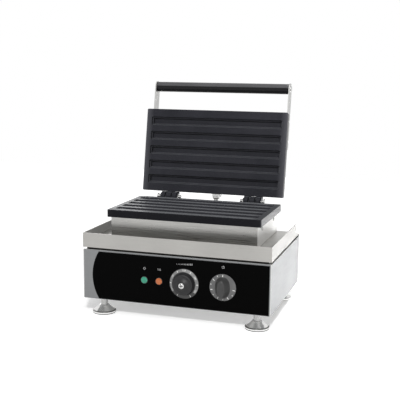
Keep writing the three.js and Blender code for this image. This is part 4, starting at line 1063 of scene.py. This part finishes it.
# The knob's screw: head height, shank radius, and half the width of its cross slot
KNOB_SCREW = (2.6 * MM, 2.0 * MM, 0.75 * MM)
# The cross slot carries painted shade between these shares of the head's height, and inside this share of
# its radius
SLOT_ZONE = (0.1, 0.75, 0.74)


def screw_head(radius, height, shank, length):
    """A screw that points down from its head's seat at z = 0, with a domed head."""
    wall = WALL_SHARE * height
    outline = [(0, -length), (shank, -length), (shank, 0), (radius, 0)]
    outline += arc(0, wall, radius, 0, 90, 6, rise=height - wall)[:-1]
    return turned([*outline, (0, height)], SMALL)


def knob_screw():
    node = "thermostat_knob_screw"
    back, top, radius = reach_out(node)
    height, shank, half = KNOB_SCREW
    reach, bottom = CROSS[0] * radius, CROSS[1] * height
    cutters = [bar((-reach, -half, bottom), (reach, half, 2 * height))]
    cutters.append(bar((-half, -reach, bottom), (half, reach, 2 * height)))
    mesh = combined(screw_head(radius, height, shank, top - height - back), cutters, "DIFFERENCE")

    def in_slot(face):
        low, high, share = SLOT_ZONE
        return low < face.center.z / height < high and face.center.to_2d().length < share * radius

    mesh.materials.append(plating)
    # The floor and walls of the cross slot are a near-black copy of the steel: painted shade
    repaint(mesh, steel["dark"], in_slot)
    place = control_place(node) @ Matrix.Translation((0, 0, top - height))
    put("knob_screw", mesh, place, None, "temperature_control", "bright_metal", node, edge=0.12)


def side_screw(node, place, body, size):
    """A slotted screw on a side wall, in the place of its CAD node."""
    radius, height, shank = size
    low, high = box_in(node, place)
    way = 1 if low.x + high.x > 0 else -1
    seat = (high.x if way > 0 else -low.x) - height
    half = SLOT_SHARE * radius / 2
    slot = bar((-2 * radius, -half, height / 2), (2 * radius, half, 2 * height))
    mesh = combined(screw_head(radius, height, shank, high.x - low.x - height), [slot], "DIFFERENCE")
    stand = Matrix.Translation((way * seat, (low.y + high.y) / 2, (low.z + high.z) / 2))
    local = stand @ Matrix.Rotation(way * math.pi / 2, 4, "Y")
    put(node.replace("_", "-"), mesh, place @ local, plating, body, "bright_metal", node, edge=0.1)


knob_screw()
for side in ("left", "right"):
    for end in ("front", "back"):
        side_screw(f"pedestal_screw_{side}_{end}", lower_place, "base", SCREW)
    for end in ("lower", "upper"):
        side_screw(f"arm_screw_{side}_{end}", lid_place, "lid", SCREW)
    side_screw(f"handle_bolt_{side}", lid_place, "lid", BOLT)
print("screws and bolts done")

# %% [markdown]
# ## The timer knob
# The timer knob is one moulding: a disc with a sloping rim, and an oval grip that narrows towards
# its ridge. Eleven pale marks go anticlockwise from the top, long and short in turn, one long mark
# for each minute.

# %% Timer knob
TIMER_DISC = 3.6 * MM
TIMER_FLAT = 16 * MM
TIMER_SLOPE = 2.2 * MM
# The grip, in millimetres: half its width, half its height, and how far out from the disc
GRIP_LEVELS = (
    (15.6, 21.6, -1.2), (15.4, 21.4, 0.3), (14.2, 20.4, 2.2), (12.4, 19.3, 5.5),
    (10.4, 18.2, 9.0), (8.7, 17.2, 12.3), (7.6, 16.4, 13.6), (6.0, 14.9, 14.5),
)
OVAL_POINTS = 56
# An oval of power two is an ellipse, and higher powers go towards a rectangle
OVAL_POWER = 2.25
MARK_STEP = 26
MARK_COUNT = 11


def oval(half_x, half_y, z):
    """A ring between an ellipse and a rounded rectangle."""
    ring = []
    for x, y in circle(0, 0, 1, OVAL_POINTS):
        x, y = (math.copysign(abs(c) ** (2 / OVAL_POWER), c) for c in (x, y))
        ring.append((half_x * x, half_y * y, z))
    return ring


def timer_knob():
    back, _, radius = reach_out("timer_knob")
    place = control_place("timer_knob")
    top = back + TIMER_DISC
    height_at = slope(TIMER_FLAT, radius, top, TIMER_SLOPE)
    base = disc(back, top, radius, TIMER_FLAT, TIMER_SLOPE)
    grip = loft([oval(x * MM, y * MM, top + z * MM) for x, y, z in GRIP_LEVELS])
    disc_faces = len(base.polygons)
    knob = joined([base, grip])
    knob.materials.append(timer_plastic)
    repaint(knob, timer_grip_plastic, lambda face: face.index >= disc_faces)
    rides = ("timer_control", "timer_grey")
    put("timer_disc_and_grip", knob, place, None, *rides, "timer_knob", edge=0.3, limit=14)
    marks = []
    for i in range(MARK_COUNT):
        # Every other mark is long, and the short ones are a little wider
        length, width = (3.6, 1.5) if i % 2 else (6.2, 1.3)
        inner, outer = radius - length * MM, radius - MARK_INSETS[1]
        marks.append(mark(-MARK_STEP * i, inner, outer, width * MM, height_at))
    put("timer_marks", joined(marks), place, mark_paint, *rides)


timer_knob()
print("timer marks:", MARK_COUNT)

# %% [markdown]
# ## The handle
# Two flat steel bars rise from the sides of the lid's cover and hold a round plastic grip. The bars
# are cut from flat stock with a half-round end, so their outline is drawn in the side view of the
# plate frame. The grip is turned, with a small step and a rounded edge at each end.

# %% Handle
SIDE_VIEW = Matrix(((0, 0, 1, 0), (1, 0, 0, 0), (0, 1, 0, 0), (0, 0, 0, 1)))
ARM_CORNER = 6 * MM
BOLT_HOLE = 3.3 * MM
SCREW_HOLE = 2.3 * MM
BOLT_DEPTH = 18 * MM
# An end of the grip, in millimetres: how far under its radius, and how far from its end
GRIP_END = ((0.9, 0), (0, 0.9), (0, 7), (0.25, 7.3), (0.25, 8), (0, 8.3))


def handle_arm(side):
    node = f"handle_arm_{side}"
    low, high = box_in(node, lid_place)
    half = (high.z - low.z) / 2
    middle_z = (high.z + low.z) / 2
    grip_y = low.y + half
    outline = arc(grip_y, middle_z, half, 90, 270, 24)
    outline += arc(high.y - ARM_CORNER, low.z + ARM_CORNER, ARM_CORNER, -90, 0)
    outline += arc(high.y - ARM_CORNER, high.z - ARM_CORNER, ARM_CORNER, 0, 90)
    holes = [circle(grip_y, middle_z, BOLT_HOLE, 32)]
    for screw in (f"arm_screw_{side}_lower", f"arm_screw_{side}_upper"):
        holes.append(circle(middle_of(screw, lid_place).y, middle_z, SCREW_HOLE, 24))
    blank = slab([outline, *holes], low.x, high.x)
    place = lid_place @ SIDE_VIEW
    put(f"arm_{side}", blank, place, steel["arm"], "lid", "stainless_steel", node, edge=0.35)


def handle_grip():
    low, high = box_in("handle_grip", lid_place)
    radius = (high.z - low.z) / 2
    end = (high.x - low.x) / 2
    outline = [(0, BOLT_DEPTH - end), (BOLT_HOLE, BOLT_DEPTH - end), (BOLT_HOLE, -end)]
    outline += [(radius - under * MM, along * MM - end) for under, along in GRIP_END]
    outline += [(r, -z) for r, z in reversed(outline)]
    place = lid_place @ Matrix.Translation((low + high) / 2) @ Matrix.Rotation(math.pi / 2, 4, "Y")
    put("grip", turned(outline, WIDE), place, grip_plastic, "lid", "handle_black", "handle_grip", edge=0.5)
    print("grip length", round(2 * end, 4))


for side in ("left", "right"):
    handle_arm(side)
handle_grip()

# %% [markdown]
# ## Hinges
# Each hinge is a pin through three knuckles: two belong to one plate and the third, between them, to
# the other. The pin has a round head outside and a hexagonal nut inside.

# %% Hinge pins and nuts
PIN_RADIUS = 4 * MM
PIN_EDGE = 0.5 * MM
PIN_HEAD = 3.2 * MM
PIN_TIP = 0.8 * MM
NUT_BORE = 4.3 * MM
# The corners of a nut are turned off by this share of its radius, and this share of that in height
NUT_CHAMFER = 0.12
NUT_SLANT = 0.6


def hexagon(radius, low, high, bore):
    """A hexagonal nut with its corners turned off at both ends, and a bore."""
    blank = turned([(bore, low), (radius, low), (radius, high), (bore, high)], 6)
    chamfer = NUT_CHAMFER * radius
    slant = NUT_SLANT * chamfer
    outline = [(0, low), (radius - chamfer, low), (radius, low + slant)]
    outline += [(radius, high - slant), (radius - chamfer, high), (0, high)]
    return combined(blank, [turned(outline, SMALL)], "INTERSECT")


def hinge_hardware(side):
    way = -1 if side == "left" else 1
    low, high = box_in(f"hinge_pin_{side}", lower_place)
    head = (high.z - low.z) / 2
    start, end = (high.x, low.x) if way > 0 else (low.x, high.x)
    length = abs(end - start)
    outline = [(0, 0), (head - PIN_EDGE, 0), (head, PIN_EDGE), (head, PIN_HEAD), (PIN_RADIUS, PIN_HEAD)]
    outline += [(PIN_RADIUS, length - PIN_TIP), (PIN_RADIUS - PIN_TIP, length), (0, length)]
    place = lower_place @ Matrix.Translation((start, 0, 0)) @ Matrix.Rotation(-way * math.pi / 2, 4, "Y")
    rides = ("base", "bright_metal")
    pin = turned(outline, SMALL)
    put(f"pin_{side}", pin, place, plating, *rides, f"hinge_pin_{side}", edge=0.2)
    low, high = box_in(f"hinge_nut_{side}", lower_place)
    nut = hexagon((high.y - low.y) / 2, low.x, high.x, NUT_BORE)
    place = lower_place @ Matrix.Rotation(math.pi / 2, 4, "Y")
    put(f"nut_{side}", nut, place, plating, *rides, f"hinge_nut_{side}", edge=0.15)


for side in ("left", "right"):
    hinge_hardware(side)
print("hinge hardware on two sides")

# %% [markdown]
# ## Glands and the conduit
# The wires of the upper heater reach the lid through a short ribbed metal hose. It leaves the back of
# the pedestal through a gland, bends up and enters the back of the lid through another. The hose is
# skinned along its route: two straight ends and one smooth curve between them. It is one fixed mesh,
# shaped as the hose lies with the lid open.

# %% Glands
POINTING_BACK = Matrix.Rotation(-math.pi / 2, 4, "X")
HOSE_RADIUS = 6.0 * MM
HOSE_SEAT = 3.5 * MM
# A conduit gland starts this far inside its wall
GLAND_INSIDE = 6 * MM
# The nut of a gland: where it starts and ends, measured from the wall, and its bore
CONDUIT_NUT = (0.3 * MM, 7 * MM, HOSE_RADIUS)
CORD_NUT = (0.3 * MM, 5 * MM, 8.5 * MM)


def conduit_gland(node, place, body):
    low, high = box_in(node, place)
    centre = (low + high) / 2
    wall = low.y + GLAND_INSIDE
    tip = (high.y - wall) / MM
    nut = hexagon((high.z - low.z) / 2, *CONDUIT_NUT)
    # In millimetres: the part inside the wall, the neck, the cap, and the seat of the hose
    outline = [(4.4, -6), (6.8, -6), (6.8, 0.3), (7.6, 0.3), (7.6, 7.4), (9.2, 7.4), (9.2, 10.2)]
    outline += [(7.8, 11.6), (7.2, tip), (6.2, tip), (6.2, tip - 4), (4.4, tip - 4)]
    mesh = joined([nut, turned(scaled(outline), SMALL)])
    at = place @ Matrix.Translation((centre.x, wall, centre.z)) @ POINTING_BACK
    name = node.replace("conduit_gland", "gland")
    put(name, mesh, at, plating, body, "bright_metal", node, edge=0.2)
    return Vector((centre.x, high.y, centre.z))


def cord_gland():
    low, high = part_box("cord_gland")
    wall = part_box("rear_panel")[1].y
    centre = (low + high) / 2
    back, tip = (low.y - wall) / MM, (high.y - wall) / MM
    nut = hexagon((high.z - low.z) / 2, *CORD_NUT)
    outline = [(5, back), (9, back), (9, 5.4), (10.6, 5.6), (10.6, 8.6), (9.4, 10.6), (7, tip), (5, tip)]
    mesh = joined([nut, turned(scaled(outline), SMALL)])
    at = Matrix.Translation((centre.x, wall, centre.z)) @ POINTING_BACK
    put("cord_inlet_gland", mesh, at, black_plastic, "base", "black_plastic", "cord_gland", edge=0.25)


lower_mouth = conduit_gland("conduit_gland_lower", lower_place, "base")
upper_mouth = conduit_gland("conduit_gland_upper", lid_place, "lid")
cord_gland()
print("hose mouths at", tuple(lower_place @ lower_mouth), tuple(lid_place @ upper_mouth))

# %% Conduit
HOSE_STRAIGHT = 12 * MM
HOSE_PULL = 52 * MM
HOSE_RIBS = 25
HOSE_RIB_DEPTH = 0.7 * MM
HOSE_WALL = 1.0 * MM
HOSE_SIDES = 24
RIB_STEPS = 6
# A power below one makes each rib broad and each groove narrow
RIB_POWER = 0.6
# Each end of the hose is smooth for the length of this many ribs
SMOOTH_RIBS = 3
CURVE_STEPS = 200


def hose_route():
    """Points along the hose, and the two places where its straight ends begin to bend."""
    back = Vector((0, 1, 0))
    lid_back = (lid_place.to_3x3() @ back).normalized()
    start = lower_place @ lower_mouth
    end = lid_place @ upper_mouth
    bend_from, bend_to = start + HOSE_STRAIGHT * back, end + HOSE_STRAIGHT * lid_back
    handles = (bend_from, bend_from + HOSE_PULL * back, bend_to + HOSE_PULL * lid_back, bend_to)
    points = [start - HOSE_SEAT * back]
    for i in range(CURVE_STEPS + 1):
        t = i / CURVE_STEPS
        weights = ((1 - t) ** 3, 3 * t * (1 - t) ** 2, 3 * t * t * (1 - t), t**3)
        points.append(sum((w * h for w, h in zip(weights, handles)), Vector()))
    points.append(end - HOSE_SEAT * lid_back)
    return points, bend_from, bend_to


def evenly(points, count):
    """The same line as points that are equal distances apart, with the line's length."""
    lengths = [0.0]
    for first, second in zip(points, points[1:]):
        lengths.append(lengths[-1] + (second - first).length)
    spaced = []
    at = 0
    for i in range(count + 1):
        wanted = lengths[-1] * i / count
        while at < len(points) - 2 and lengths[at + 1] < wanted:
            at += 1
        share = (wanted - lengths[at]) / (lengths[at + 1] - lengths[at])
        spaced.append(points[at].lerp(points[at + 1], share))
    return spaced, lengths[-1]


def hose_skin(points, radii):
    """Rings along a line, each turned as little as possible from the one before."""
    rings = []
    across = Vector((1, 0, 0))
    for i, point in enumerate(points):
        along = (points[min(i + 1, len(points) - 1)] - points[max(i - 1, 0)]).normalized()
        across = (across - along * across.dot(along)).normalized()
        other = along.cross(across)
        ring = circle(0, 0, 1, HOSE_SIDES)
        rings.append([point + radii[i] * (x * across + y * other) for x, y in ring])
    return rings


def conduit():
    """The hose: out along its ribs, and back along its smooth bore."""
    route, bend_from, bend_to = hose_route()
    count = (HOSE_RIBS + 2 * SMOOTH_RIBS) * RIB_STEPS
    points, length = evenly(route, count)
    ends = SMOOTH_RIBS * RIB_STEPS
    outer = []
    for i in range(count + 1):
        wave = 0.5 - 0.5 * math.cos(2 * math.pi * i / RIB_STEPS)
        ribbed = ends <= i <= count - ends
        outer.append(HOSE_RADIUS - HOSE_RIB_DEPTH * (1 - wave**RIB_POWER if ribbed else 1))
    inner = [HOSE_RADIUS - HOSE_RIB_DEPTH - HOSE_WALL] * (count + 1)
    skin = loft(hose_skin(points, outer) + hose_skin(points, inner)[::-1], tube=True)
    hose = put("hose", skin, Matrix.Identity(4), plating, None, "bright_metal", "wire_conduit")
    hose.data.shade_smooth()
    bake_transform(hose)
    print("conduit length", round(length, 4))


conduit()

# %% [markdown]
# ## The castings
# Both halves of the iron hold the same cast plate. Its baking face has five long pockets with sloped
# walls and a step half way down, so two facing pockets bake one stick. The skin of the casting is made
# of rounded loops: one runs round the face, five run round the pocket mouths, and the face is the
# flat area between them. Loops down into each pocket and round the outside close it. Knuckles are
# fused on with Booleans, and the hinge bore is cut through them all.

# %% Casting outlines
POCKETS = 5
POCKET_PITCH = 33.5 * MM
POCKET_HALF = (154 * MM, 9.5 * MM)
POCKET_CORNER = 3.0 * MM
SMALL_CORNER = 1.0 * MM
LIP = 0.9 * MM
# Each step down a pocket wall, in millimetres: how far it has come in, and how deep it is
POCKET_WALL = (
    (0.9, 3.6), (1.15, 3.95), (1.6, 4.1), (2.2, 4.15), (2.7, 4.3),
    (2.95, 4.7), (3.6, 8.0), (3.9, 8.6), (4.6, 9.0),
)
FACE_EDGE = 1.0 * MM
BACK_EDGE = 0.6 * MM
PLATE_CORNER = 3.0 * MM
SLAB = 16 * MM
# The rim under the slab stands this far inside the pedestal's outline, and is this thick
RIM_GAP = 1.5 * MM
RIM_WALL = 6 * MM
EDGE_STEPS = 4
CORNER_STEPS = 5

case_low, case_high = box_in("pedestal", lower_place)
plate_face = -0.5 * MM
plate_rear = case_high.y + 1.0 * MM
plate_middle = (plate_low.y + plate_rear) / 2
pocket_places = [plate_middle + (i - (POCKETS - 1) / 2) * POCKET_PITCH for i in range(POCKETS)]
print("pockets run at", [round(y, 4) for y in pocket_places])


def rounded_loop(box, inset, corner, z):
    """A rectangle with round corners, drawn in by an inset, as a ring of points at one height."""
    low_x, high_x, low_y, high_y = box
    left, right = low_x + inset + corner, high_x - inset - corner
    front, back = low_y + inset + corner, high_y - inset - corner
    loop = []
    for x, y, start in ((right, front, -90), (right, back, 0), (left, back, 90), (left, front, 180)):
        loop += [(px, py, z) for px, py in arc(x, y, corner, start, start + 90, CORNER_STEPS)]
    return loop


def pocket_loops(y):
    half_x, half_y = POCKET_HALF
    box = (-half_x, half_x, y - half_y, y + half_y)
    levels = arc(-LIP, LIP, LIP, -90, 0, EDGE_STEPS) + scaled(POCKET_WALL)
    loops = []
    for inset, down in levels:
        corner = max(POCKET_CORNER - inset, SMALL_CORNER)
        loops.append(rounded_loop(box, inset, corner, plate_face - down))
    return loops


def outside_loops():
    """Loops from the edge of the baking face, down the outside, under the slab and round the rim."""
    outside = (-plate_high.x, plate_high.x, plate_low.y, plate_rear)
    case = (case_low.x, case_high.x, case_low.y, case_high.y)
    inner, bottom = RIM_GAP + RIM_WALL, plate_face - plate_low.z
    levels = [
        (outside, 0, PLATE_CORNER, SLAB - BACK_EDGE),
        (outside, BACK_EDGE, PLATE_CORNER, SLAB),
        (case, RIM_GAP, PLATE_CORNER, SLAB),
        (case, RIM_GAP, PLATE_CORNER, bottom),
        (case, inner, SMALL_CORNER, bottom),
        (case, inner, SMALL_CORNER, SLAB),
    ]
    edge = arc(FACE_EDGE, FACE_EDGE, FACE_EDGE, -90, -180, EDGE_STEPS)
    levels = [(outside, inset, PLATE_CORNER, down) for inset, down in edge] + levels
    return [rounded_loop(box, inset, corner, plate_face - down) for box, inset, corner, down in levels]


def casting_skin():
    bm = bmesh.new()
    edges = []
    for loops in (outside_loops(), *(pocket_loops(y) for y in pocket_places)):
        stack = [[bm.verts.new(point) for point in loop] for loop in loops]
        for first, second in zip(stack, stack[1:]):
            stitch(bm, first, second)
        bm.faces.new(stack[-1])
        edges += [bm.edges.get((a, b)) for a, b in zip(stack[0], stack[0][1:] + stack[0][:1])]
    bmesh.ops.triangle_fill(bm, edges=edges, use_beauty=True)
    return mesh_from(bm)


# %% Knuckles
KNUCKLE_RADIUS = 10 * MM
KNUCKLE_GAP = 0.4 * MM
KNUCKLE_CHAMFER = 2.2 * MM
KNUCKLE_SIDES = 64
# The web of a knuckle starts this far inside the plate
WEB_ROOT = 1.5 * MM
# The knuckle in the middle of a hinge and the two beside it are this wide
CENTRE_WIDTH = 14.4 * MM
SIDE_WIDTH = 12.8 * MM
# The heel beside a knuckle, in millimetres, as it lies when the lid is open
HEEL = ((-11.2, 10), (-4.4, 10), (-4.4, 3), (-11.2, 3))


def knuckle_spans():
    """Where the knuckles run across: the outer two of the left hinge, the middle one of the right."""
    hinge_x = middle_of("hinge_pin_right", lower_place).x
    half = CENTRE_WIDTH / 2
    low, high = -hinge_x - half - KNUCKLE_GAP, -hinge_x + half + KNUCKLE_GAP
    return [(low - SIDE_WIDTH, low), (high, high + SIDE_WIDTH), (hinge_x - half, hinge_x + half)]


def knuckle(start, end):
    """A round of the hinge with the web that joins it to the plate and its heel."""
    shoulder = KNUCKLE_RADIUS - KNUCKLE_CHAMFER
    outline = [(0, start), (shoulder, start), (KNUCKLE_RADIUS, start + KNUCKLE_CHAMFER)]
    outline += [(KNUCKLE_RADIUS, end - KNUCKLE_CHAMFER), (shoulder, end), (0, end)]
    root = plate_rear - WEB_ROOT
    top, foot = plate_face - KNUCKLE_GAP, plate_face - SLAB + KNUCKLE_GAP
    web = slab([[(root, top), (0, top), (0, -KNUCKLE_RADIUS), (root, foot)]], start, end)
    c, s = math.cos(open_angle), -math.sin(open_angle)
    heel = slab([[(y * c - z * s, y * s + z * c) for y, z in scaled(HEEL)]], start, end)
    shape = combined(turned(outline, KNUCKLE_SIDES), [web, heel], "UNION")
    shape.transform(SIDE_VIEW)
    return shape


# %% Castings
PIN_BORE = 4.3 * MM
# A notch at the back of the rim, for the wires: from here to there, measured from the rear edge
NOTCH = (-14 * MM, 2 * MM)
# The notch ends this far under the slab
NOTCH_GAP = 0.02 * MM
# A bore is cut with a bar of this many sides that reaches this far to the left and right
BORE_SIDES = 32
BORE_REACH = 200 * MM
# The walls of a pocket lie between these heights, measured from the baking face
POCKET_ZONE = (-10 * MM, -0.3 * MM)
# A face this near to an end of the plate belongs to it
NEAR = 0.1 * MM
WALL_TURN = 0.4
BARE, PAINTED_SHADE = 1, 2


def bar_across(radius, y, z):
    reach = BORE_REACH
    mesh = turned([(0, -reach), (radius, -reach), (radius, reach), (0, reach)], BORE_SIDES)
    mesh.transform(Matrix.Translation((0, y, z)) @ Matrix.Rotation(math.pi / 2, 4, "Y"))
    return mesh


def face_finish(face):
    """Bare metal at the ends and underneath, coating on top, and painted shade on walls, front and
    knuckles.
    """
    x, y, z = face.center
    ends_across = abs(face.normal.x) > WALL_TURN
    deep = POCKET_ZONE[0] < z - plate_face < POCKET_ZONE[1]
    in_pocket = deep and abs(x) < POCKET_HALF[0] and plate_low.y + MM < y < plate_rear - MM
    if abs(x) > plate_high.x - NEAR or z < plate_face - SLAB + NEAR:
        return BARE
    # Pocket walls that face the hinge or an end, the front and the knuckle ends carry painted shade
    if in_pocket and (face.normal.y > WALL_TURN or ends_across):
        return PAINTED_SHADE
    if y < plate_low.y + NEAR or y > plate_rear + MM and ends_across:
        return PAINTED_SHADE
    return 0


def casting(name, node, place, body, screws, finish):
    """One plate. Screws are the side screws that pass through its rim."""
    plate = combined(casting_skin(), [knuckle(*span) for span in knuckle_spans()], "UNION")
    quarter = plate_high.x / 2
    notch_low = (-quarter, plate_rear + NOTCH[0], plate_low.z - MM)
    notch_high = (quarter, plate_rear + NOTCH[1], plate_face - SLAB - NOTCH_GAP)
    cutters = [bar_across(PIN_BORE, 0, 0), bar(notch_low, notch_high)]
    for screw in screws:
        centre = middle_of(screw, place)
        cutters.append(bar_across(SCREW_HOLE, centre.y, centre.z))
    plate = combined(plate, cutters, "DIFFERENCE")
    for material in (finish, aluminium, painted_shade_coating):
        plate.materials.append(material)
    for face in plate.polygons:
        face.material_index = face_finish(face)
    put(name, plate, place, None, body, "coated_casting", node, edge=0.4, limit=40)
    print(name, "has", len(plate.polygons), "faces")


screws = ["pedestal_screw_left_front", "pedestal_screw_left_back"]
casting("plate_lower", "lower_plate", lower_place, "base", screws, coating)
screws = ["arm_screw_left_lower", "arm_screw_left_upper"]
casting("plate_upper", "upper_plate", lid_place, "lid", screws, painted_sheen_coating)

# %% [markdown]
# ## Symbols on the panel
# Plain signs stand over the lamps and knobs: a power sign, three heat waves, a row of growing bars
# for more and less heat, and a clock. Each stroke is a ribbon along a line, cut as thin as paint.

# %% Panel symbols
STROKE = 0.7 * MM
PAINT = 0.06 * MM
LEVEL_BARS = 11
LEVEL_STEP = 3.2 * MM
# How far a sign stands over its lamp or its knob
OVER_LAMP = 24 * MM
OVER_KNOB = 40.5 * MM


def ribbon(points, width=STROKE):
    """A flat stroke of that width along a line of points."""
    sides = [[], []]
    for i, (x, y) in enumerate(points):
        ahead, behind = points[min(i + 1, len(points) - 1)], points[max(i - 1, 0)]
        along = Vector((ahead[0] - behind[0], ahead[1] - behind[1])).normalized()
        for side, sign in zip(sides, (1, -1)):
            side.append((x - sign * along.y * width / 2, y + sign * along.x * width / 2))
    return slab([sides[0] + sides[1][::-1]], 0, PAINT)


def stroke(x, z, points, width=STROKE):
    """A ribbon whose points are in millimetres from the middle of the sign."""
    return ribbon([(x + dx, z + dz) for dx, dz in scaled(points)], width)


def power_sign(x, z):
    return [ribbon(arc(x, z, 2.2 * MM, 120, 420, 24)), stroke(x, z, [(0, 0.6), (0, 2.9)])]


def heat_sign(x, z):
    """Three upright waves, side by side."""
    wave = [(0.5 * math.sin(0.375 * k), 0.25 * k - 2) for k in range(17)]
    return [stroke(x + shift * MM, z, wave) for shift in (-2.4, 0, 2.4)]


def level_sign(x, z):
    """A row of bars that grow from left to right, for more and less heat."""
    bars = []
    for i in range(LEVEL_BARS):
        share = i / (LEVEL_BARS - 1)
        centre = x + (i - (LEVEL_BARS - 1) / 2) * LEVEL_STEP
        bars.append(stroke(centre, z, [(0, -2.2), (0, 3.0 * share - 1.2)], 1.2 * MM))
    return bars


def clock_sign(x, z):
    face = ribbon(arc(x, z, 2.6 * MM, 0, 350, 36))
    return [face, stroke(x, z, [(0, 0), (0, 1.8)]), stroke(x, z, [(0, 0), (1.3, 0)])]


signs = []
for node, sign in zip(CONTROLS, (power_sign, heat_sign, level_sign, clock_sign)):
    centre = control_centres[node]
    over = OVER_LAMP if node.endswith("lamp") else OVER_KNOB
    signs += sign(centre.x, centre.z + over)
print("strokes:", len(signs))
put("panel_signs", joined(signs), panel_place, sign_paint, "base", "gloss_black_panel")
